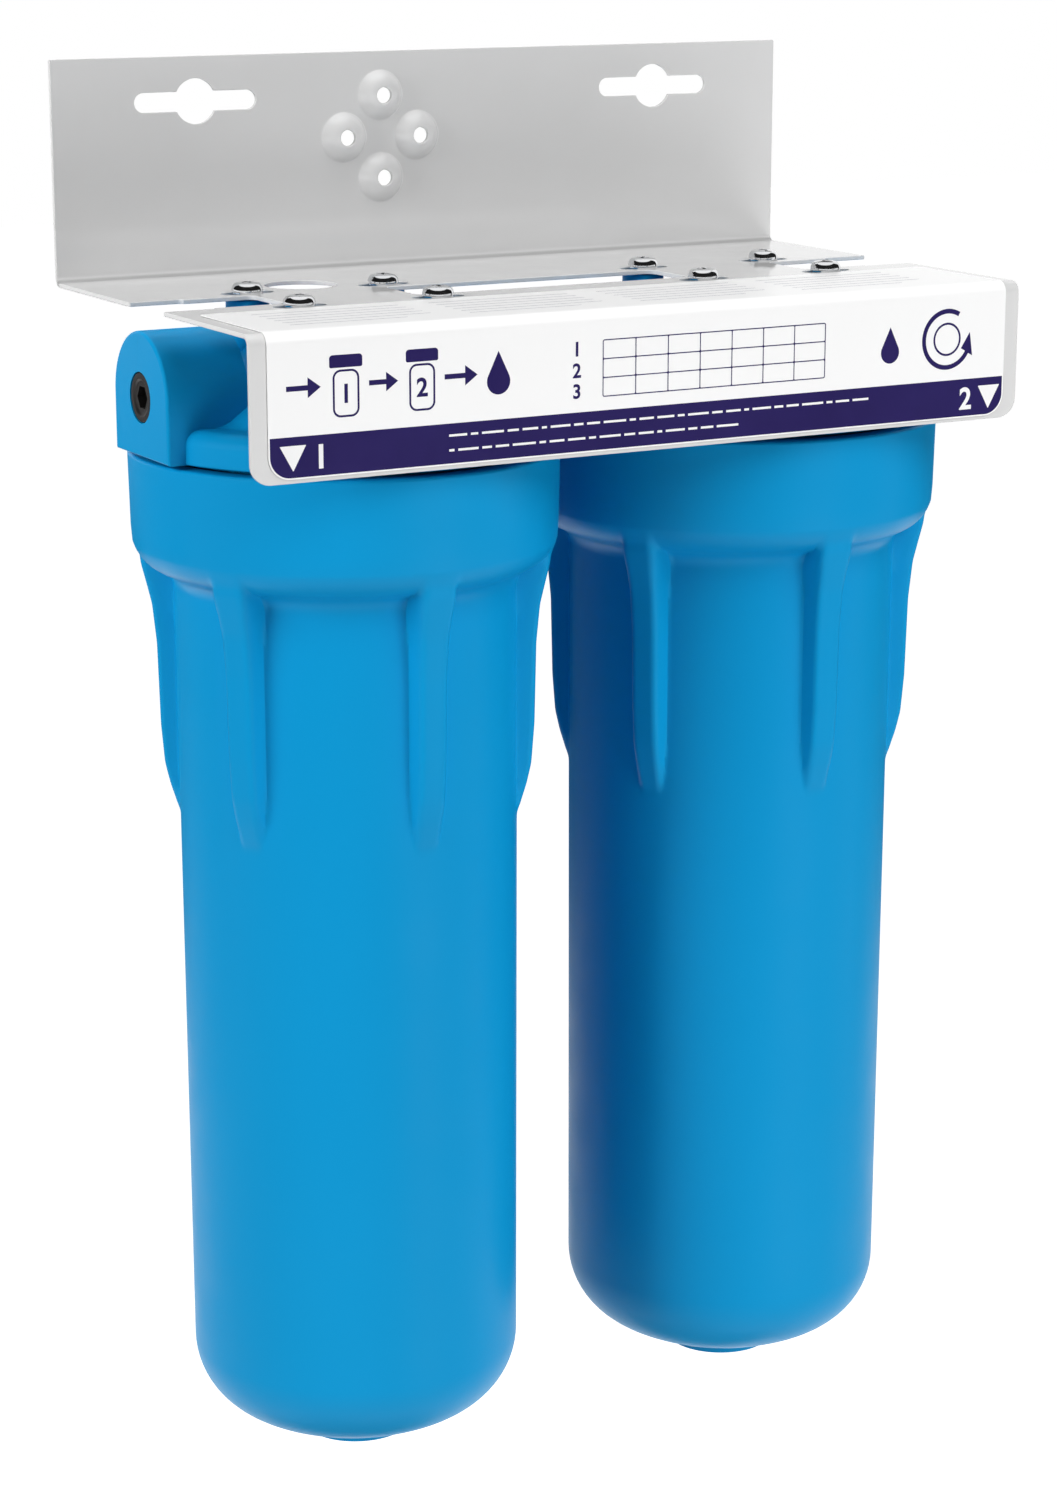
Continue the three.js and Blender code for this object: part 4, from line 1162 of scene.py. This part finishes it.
# %% Give the sheet its thickness
def thickened(piece, thickness, softened):
    thick = piece.modifiers.new("sheet thickness", "SOLIDIFY")
    thick.thickness = thickness * MM
    thick.offset = -1
    thick.use_even_offset = True
    thick.use_quality_normals = True
    soft = piece.modifiers.new("softened edge", "BEVEL")
    soft.width = softened * MM
    soft.segments = 2
    soft.limit_method = "ANGLE"
    soft.angle_limit = math.radians(50)
    soft.use_clamp_overlap = False
    for _ in range(2):
        piece.modifiers.move(len(piece.modifiers) - 1, 0)
    print(piece.name, "is", round(thickness, 3), "mm thick")


thickened(bracket, SHEET, 0.2)

# %% [markdown]
# ## The label
#
# A white film is stuck on the apron and carried over the bend on to the flange. It is made as the bracket
# is: an apron panel with rounded lower corners, the bend, and a strip on the flange, with the thickness of a
# film.

# %% Wrap the film
FILM = 0.25
FILM_LIFT = 0.1 + FILM - 0.03
FILM_HALF = 112.6
FILM_LOW = -36.7
FILM_REAR = 40.5 - DEPTH


def film_skin():
    top = bmesh.new()
    loop(top, [
        (-FILM_HALF, BEND - DEPTH), (FILM_HALF, BEND - DEPTH), (FILM_HALF, FILM_REAR, 1.5),
        (-FILM_HALF, FILM_REAR, 1.5)])
    filled(top)
    bmesh.ops.translate(top, verts=top.verts, vec=(0, 0, FILM_LIFT))
    wrap = bend(FILM_HALF, BEND - DEPTH, FILM_LIFT, FRONT_CENTRE, QUARTER_TURN)
    return gathered(apron(FILM_HALF, FILM_LOW, 6, FILM_LIFT), top, wrap)


film = set_down(
    "wrapped_label_film", film_skin(), BRACKET, "housing", label_film, ["front_label"],
    panels=True, looks=(0, -1, 0.3))
thickened(film, FILM - 0.04, 0.04)

# %% [markdown]
# ## The print
#
# A dark band runs along the foot of the label. At each end of it a triangle points down at the housing
# there, with the housing's number beside it. Each mark of the print is a flat sheet of ink, one or two
# hundredths of a millimetre proud of the film.

# %% Ink on the film
INK = 0.012
INK_Y = -DEPTH - FILM_LIFT - INK


def ink_sheet(name, bm, ink, lift=0.0):
    stood_up(bm, INK_Y - lift)
    return set_down(name, bm, BRACKET, "housing", ink, looks=(0, -1, 0))


def shape(corners, steps=8):
    bm = bmesh.new()
    loop(bm, corners, steps)
    return filled(bm)


ink_sheet(
    "printed_band",
    shape([(-112.2, -36.3, 5.6), (112.2, -36.3, 5.6), (112.2, -26.0), (-112.2, -26.0)], 12), label_ink)

# %% [markdown]
# A number is a text object turned into a mesh before it is placed, with Blender's own font.


# %% Numbers and triangles on the band
def number(text, x, z, size):
    curve = bpy.data.curves.new("number", "FONT")
    curve.body, curve.size, curve.align_x = text, size, "CENTER"
    curve.offset = 0.025 * size
    letter = bpy.data.objects.new("number", curve)
    bpy.context.collection.objects.link(letter)
    graph = bpy.context.evaluated_depsgraph_get()
    mesh = bpy.data.meshes.new_from_object(letter.evaluated_get(graph))
    bm = bmesh.new()
    bm.from_mesh(mesh)
    bmesh.ops.translate(bm, verts=bm.verts, vec=(x, z, 0))
    bpy.data.objects.remove(letter)
    bpy.data.curves.remove(curve)
    bpy.data.meshes.remove(mesh)
    return bm


def triangle(x):
    return shape([(x - 3.65, -28.2, 0.2), (x + 3.65, -28.2, 0.2), (x, -34.7, 0.2)], 2)


ink_sheet(
    "printed_stage_marks",
    gathered(
        triangle(-105.9), triangle(107.6), number("1", -98.2, -34.3, 8.4),
        number("2", 99.8, -34.3, 8.4)),
    white_ink, lift=INK)

# %% [markdown]
# Two rows of dashes of uneven length run along the middle of the band. They are plain bars and say nothing.

# %% Dashes on the band
DASHES = (5.2, 2.1, 6.4, 3.3, 4.6, 1.5, 5.9, 2.8, 3.9, 6.8, 1.9, 4.4)
DASH_GAP = 1.1
DASH_HALF = 0.3


def stroke(x, z, length, half):
    return shape([(x, z - half), (x + length, z - half), (x + length, z + half), (x, z + half)])


dashes = []
for z, end, i in ((-29.1, 70, 0), (-32.9, 26, 5)):
    x = -62.0
    while x + DASHES[i % len(DASHES)] < end:
        length = DASHES[i % len(DASHES)]
        dashes.append(stroke(x, z, length, DASH_HALF))
        x, i = x + length + DASH_GAP, i + 1
print(len(dashes), "dashes in the band")
ink_sheet("printed_dashes", gathered(*dashes), white_ink, lift=INK)

# %% [markdown]
# The flow chart shows water going through housing one, then housing two, and ending as a drop. A housing is
# a small cap over a rounded body with its number, and every arrow is one outline.


# %% Flow chart
def arrow(x, z, length, width, head):
    neck, barb = x + length - head, head * 0.72
    return shape([
        (x, z - width / 2), (neck, z - width / 2), (neck, z - barb), (x + length, z),
        (neck, z + barb), (neck, z + width / 2), (x, z + width / 2)])


def rim(x, z, width, height, line, radius):
    bm = bmesh.new()
    box_loop(bm, x, z, width, height, radius)
    box_loop(bm, x, z, width - 2 * line, height - 2 * line, max(radius - line, 0.1))
    return filled(bm)


def small_housing(x, text):
    lid = shape([
        (x - 4.6, -9.6, 0.5), (x + 4.6, -9.6, 0.5), (x + 4.6, -6.4, 0.9), (x - 4.6, -6.4, 0.9)])
    return [lid, rim(x, -16.1, 7.4, 12.0, 0.55, 2.2), number(text, x, -18.4, 6.6)]


def drop(x, z, radius):
    corners = arc((x, z), radius, 205, 335, 16) + arc((x, z), radius, 335, 385, 6)
    return shape(corners + [(x, z + radius * 2.3)] + arc((x, z), radius, 155, 205, 6)[:-1])


ink_sheet(
    "printed_flow_chart",
    gathered(
        arrow(-107.5, -14, 9.5, 1.3, 3.6), *small_housing(-91, "1"), arrow(-84.6, -14, 8.2, 1.3, 3.4),
        *small_housing(-69.6, "2"), arrow(-63.2, -14, 9.5, 1.3, 3.6), drop(-47.6, -16.2, 3.4)),
    label_ink)

# %% [markdown]
# In the middle is an empty grid for writing down when each cartridge was changed: one outline with the cells
# as its holes. On the right an arrow turns round a circle, the sign for unscrewing a sump.


# %% Grid and turning arrow
def grid(x, z, columns, rows, width, height, line):
    bm = bmesh.new()
    across, up = columns * width + (columns + 1) * line, rows * height + (rows + 1) * line
    box_loop(bm, x, z, across, up, 0.6)
    for column in range(columns):
        for row in range(rows):
            cell_x = x - across / 2 + line + width / 2 + column * (width + line)
            cell_z = z - up / 2 + line + height / 2 + row * (height + line)
            box_loop(bm, cell_x, cell_z, width, height, 0.25, 2)
    return filled(bm)


def turning_arrow(x, z, radius, line):
    barb, across, down = 1.6, 0.866, 0.5
    outer, inner = radius + barb, radius - line - barb
    corners = arc((x, z), radius, 60, 330, 40)
    corners += [
        (x + outer * across, z - outer * down), (x + (radius - line / 2) * 0.99, z + barb),
        (x + inner * across, z - inner * down)]
    return shape(corners + arc((x, z), radius - line, 330, 60, 40))


def round_rim(x, z, radius, line):
    bm = bmesh.new()
    ring_loop(bm, x, z, radius)
    ring_loop(bm, x, z, radius - line)
    return filled(bm)


row_numbers = [number(text, -24.5, z, 5.2) for text, z in (("1", -11.3), ("2", -16.9), ("3", -22.3))]
ink_sheet(
    "printed_service_grid", gathered(grid(18, -15, 7, 3, 9.6, 4.6, 0.3), *row_numbers), label_ink)
ink_sheet(
    "printed_turn_sign",
    gathered(
        turning_arrow(93, -14.6, 8.4, 1.3), round_rim(93, -14.6, 4.6, 0.6), drop(74, -17.0, 3.0)),
    label_ink)

# %% [markdown]
# On the flange the label carries four blocks of fine ruled lines for notes. They lie flat on the film there.

# %% Ruled lines on the flange
RULE_HALF = 0.16

rules = []
for block in range(4):
    for row in range(6):
        length = 42 if row else 33
        rules.append(stroke(-101 + 51 * block, -DEPTH + 10.5 + 4.6 * row, length, RULE_HALF))
ruled = gathered(*rules)
bmesh.ops.translate(ruled, verts=ruled.verts, vec=(0, 0, FILM_LIFT + INK))
set_down("printed_note_lines", ruled, BRACKET, "housing", label_ink, looks=(0, 0, 1))

# %% [markdown]
# ## Floor, light and camera
#
# The filter is shown against white. The floor lies well below it and takes a faint shadow. A strong soft
# lamp stands at the left side, one in front on the right and high up, a weaker one below that, and one each
# above and behind. None of them shows in a reflection: the glossy surfaces see the white surroundings
# instead. The floor glows a little for the camera, so that it is as white as the surroundings behind it.

# %% Surroundings
def seen_by(tree, *rays):
    path = tree.nodes.new("ShaderNodeLightPath")
    seen = path.outputs[rays[0]]
    for ray in rays[1:]:
        larger = tree.nodes.new("ShaderNodeMath")
        larger.operation = "MAXIMUM"
        tree.links.new(seen, larger.inputs[0])
        tree.links.new(path.outputs[ray], larger.inputs[1])
        seen = larger.outputs["Value"]
    return seen


world = bpy.data.worlds.new("white_surroundings")
bpy.context.scene.world = world
world.use_nodes = True
sky = world.node_tree
background = sky.nodes["Background"]
background.inputs["Color"].default_value = (1, 1, 1, 1)
level = sky.nodes.new("ShaderNodeMapRange")
level.inputs["To Min"].default_value = 0.08
level.inputs["To Max"].default_value = 1.0
sky_seen = seen_by(sky, "Is Camera Ray", "Is Glossy Ray", "Is Transmission Ray")
sky.links.new(sky_seen, level.inputs["Value"])
sky.links.new(level.outputs["Result"], background.inputs["Strength"])

# %% Floor
FLOOR_Z = -1.3
FLOOR_GLOW = 0.96

floor_finish = finish("pale_floor_finish", (0.85, 0.85, 0.85, 1), 1.0, specular=0.0)
floor_tree = floor_finish.node_tree
floor_shader = floor_tree.nodes["Principled BSDF"]
floor_shader.inputs["Emission Color"].default_value = (1, 1, 1, 1)
glow = floor_tree.nodes.new("ShaderNodeMath")
glow.operation = "MULTIPLY"
glow.inputs[1].default_value = FLOOR_GLOW
floor_tree.links.new(seen_by(floor_tree, "Is Camera Ray", "Is Glossy Ray"), glow.inputs[0])
floor_tree.links.new(glow.outputs["Value"], floor_shader.inputs["Emission Strength"])

floor_bm = bmesh.new()
bmesh.ops.create_grid(floor_bm, x_segments=1, y_segments=1, size=12)
bmesh.ops.translate(floor_bm, verts=floor_bm.verts, vec=(0, 0, FLOOR_Z))
as_object(floor_bm, "pale_floor", floor_finish)


# %% Lamps
def soft_lamp(name, place, aim, size, power):
    lamp = bpy.data.lights.new(name, "AREA")
    lamp.shape = "SQUARE"
    lamp.size = size
    lamp.energy = power
    thing = bpy.data.objects.new(name, lamp)
    bpy.context.collection.objects.link(thing)
    thing.location = place
    thing.rotation_euler = (Vector(aim) - Vector(place)).to_track_quat("-Z", "Y").to_euler()
    thing.visible_glossy = False


MIDDLE = (0, -0.064, -0.18)
soft_lamp("left_light", (-1.6, -0.08, 0.4), MIDDLE, 1.0, 25)
soft_lamp("front_light", (0.5, -1.34, 1.05), MIDDLE, 1.1, 19.5)
soft_lamp("top_light", (0, -0.15, 1.4), (0, -0.1, -0.05), 0.8, 8)
soft_lamp("low_light", (0.45, -1.33, -0.62), MIDDLE, 0.6, 8.3)
soft_lamp("back_light", (0.4, 1.7, 0.3), MIDDLE, 0.8, 12)


# %% [markdown]
# Bright metal in a white room would vanish. A dark screen and some dark boards, as a photo studio has them,
# are seen only by reflections. The round screen draws the black arcs in the screw heads, the board low in
# front shades the rear plate, and the others keep the edges of the housings from turning white.


# %% Dark boards
board_finish = finish("dark_board_finish", (0.01, 0.01, 0.01, 1), 1.0)


def hung(name, bm):
    board = as_object(bm, name, board_finish)
    board.visible_camera = False
    board.visible_diffuse = False
    board.visible_shadow = False


def dark_board(name, place, aim, width, height):
    bm = bmesh.new()
    bmesh.ops.create_grid(bm, x_segments=1, y_segments=1, size=0.5)
    bmesh.ops.scale(bm, vec=(width, height, 1), verts=bm.verts)
    turn = (Vector(aim) - Vector(place)).to_track_quat("Z", "Y").to_matrix().to_4x4()
    bmesh.ops.transform(bm, matrix=Matrix.Translation(place) @ turn, verts=bm.verts)
    hung(name, bm)


def dark_screen(name, radius, low, high, first, last):
    bm = bmesh.new()
    start = math.radians(first)
    side = (radius * math.sin(start), -radius * math.cos(start))
    bm.edges.new([bm.verts.new((*side, height)) for height in (low, high)])
    swept(bm, math.radians(last - first), 48)
    hung(name, bm)


dark_screen("round_screen", 1.6, 0.03, 2.2, -150, 90)
dark_board("low_board_in_front", (0.69, -1.31, -0.112), (0.69, 0, -0.112), 0.75, 0.155)
dark_board("board_behind", (0, 1.2, 0.75), MIDDLE, 2.4, 0.35)
dark_board("board_right", (1.5, -0.2, -0.1), MIDDLE, 0.5, 1.6)
dark_board("low_board_behind", (0, 1.5, -0.52), (0, 0, -0.52), 2.4, 0.45)
dark_board("low_board_left", (-1.1, 1.0, -0.52), (0, 0, -0.52), 0.9, 0.45)
dark_board("low_board_right", (1.5, 0.5, -0.44), (0, 0, -0.44), 1.3, 0.6)
dark_board("board_below", (0, 0.1, -1.25), (0, 0.1, 0), 0.8, 0.8)

# %% [markdown]
# The camera stands in front, a little to the left and above, where the photograph was taken from. Its place
# and lens were worked out from the corners of the bracket and the edges of both housings.

# %% Camera
azimuth, elevation, distance = math.radians(-29.24), math.radians(14.43), 0.99668
aim = Vector((0.00683, -0.04591, -0.18665))
direction = Vector((
    math.sin(azimuth) * math.cos(elevation), -math.cos(azimuth) * math.cos(elevation),
    math.sin(elevation)))
camera_data = bpy.data.cameras.new("photographer")
camera_data.lens = 81.86
camera_data.sensor_width = 36
camera = bpy.data.objects.new("photographer", camera_data)
bpy.context.collection.objects.link(camera)
camera.location = aim + direction * distance
camera.rotation_euler = (-direction).to_track_quat("-Z", "Y").to_euler()
bpy.context.scene.camera = camera
bpy.context.scene.view_settings.view_transform = "Standard"
print("camera at", [round(v, 4) for v in camera.location])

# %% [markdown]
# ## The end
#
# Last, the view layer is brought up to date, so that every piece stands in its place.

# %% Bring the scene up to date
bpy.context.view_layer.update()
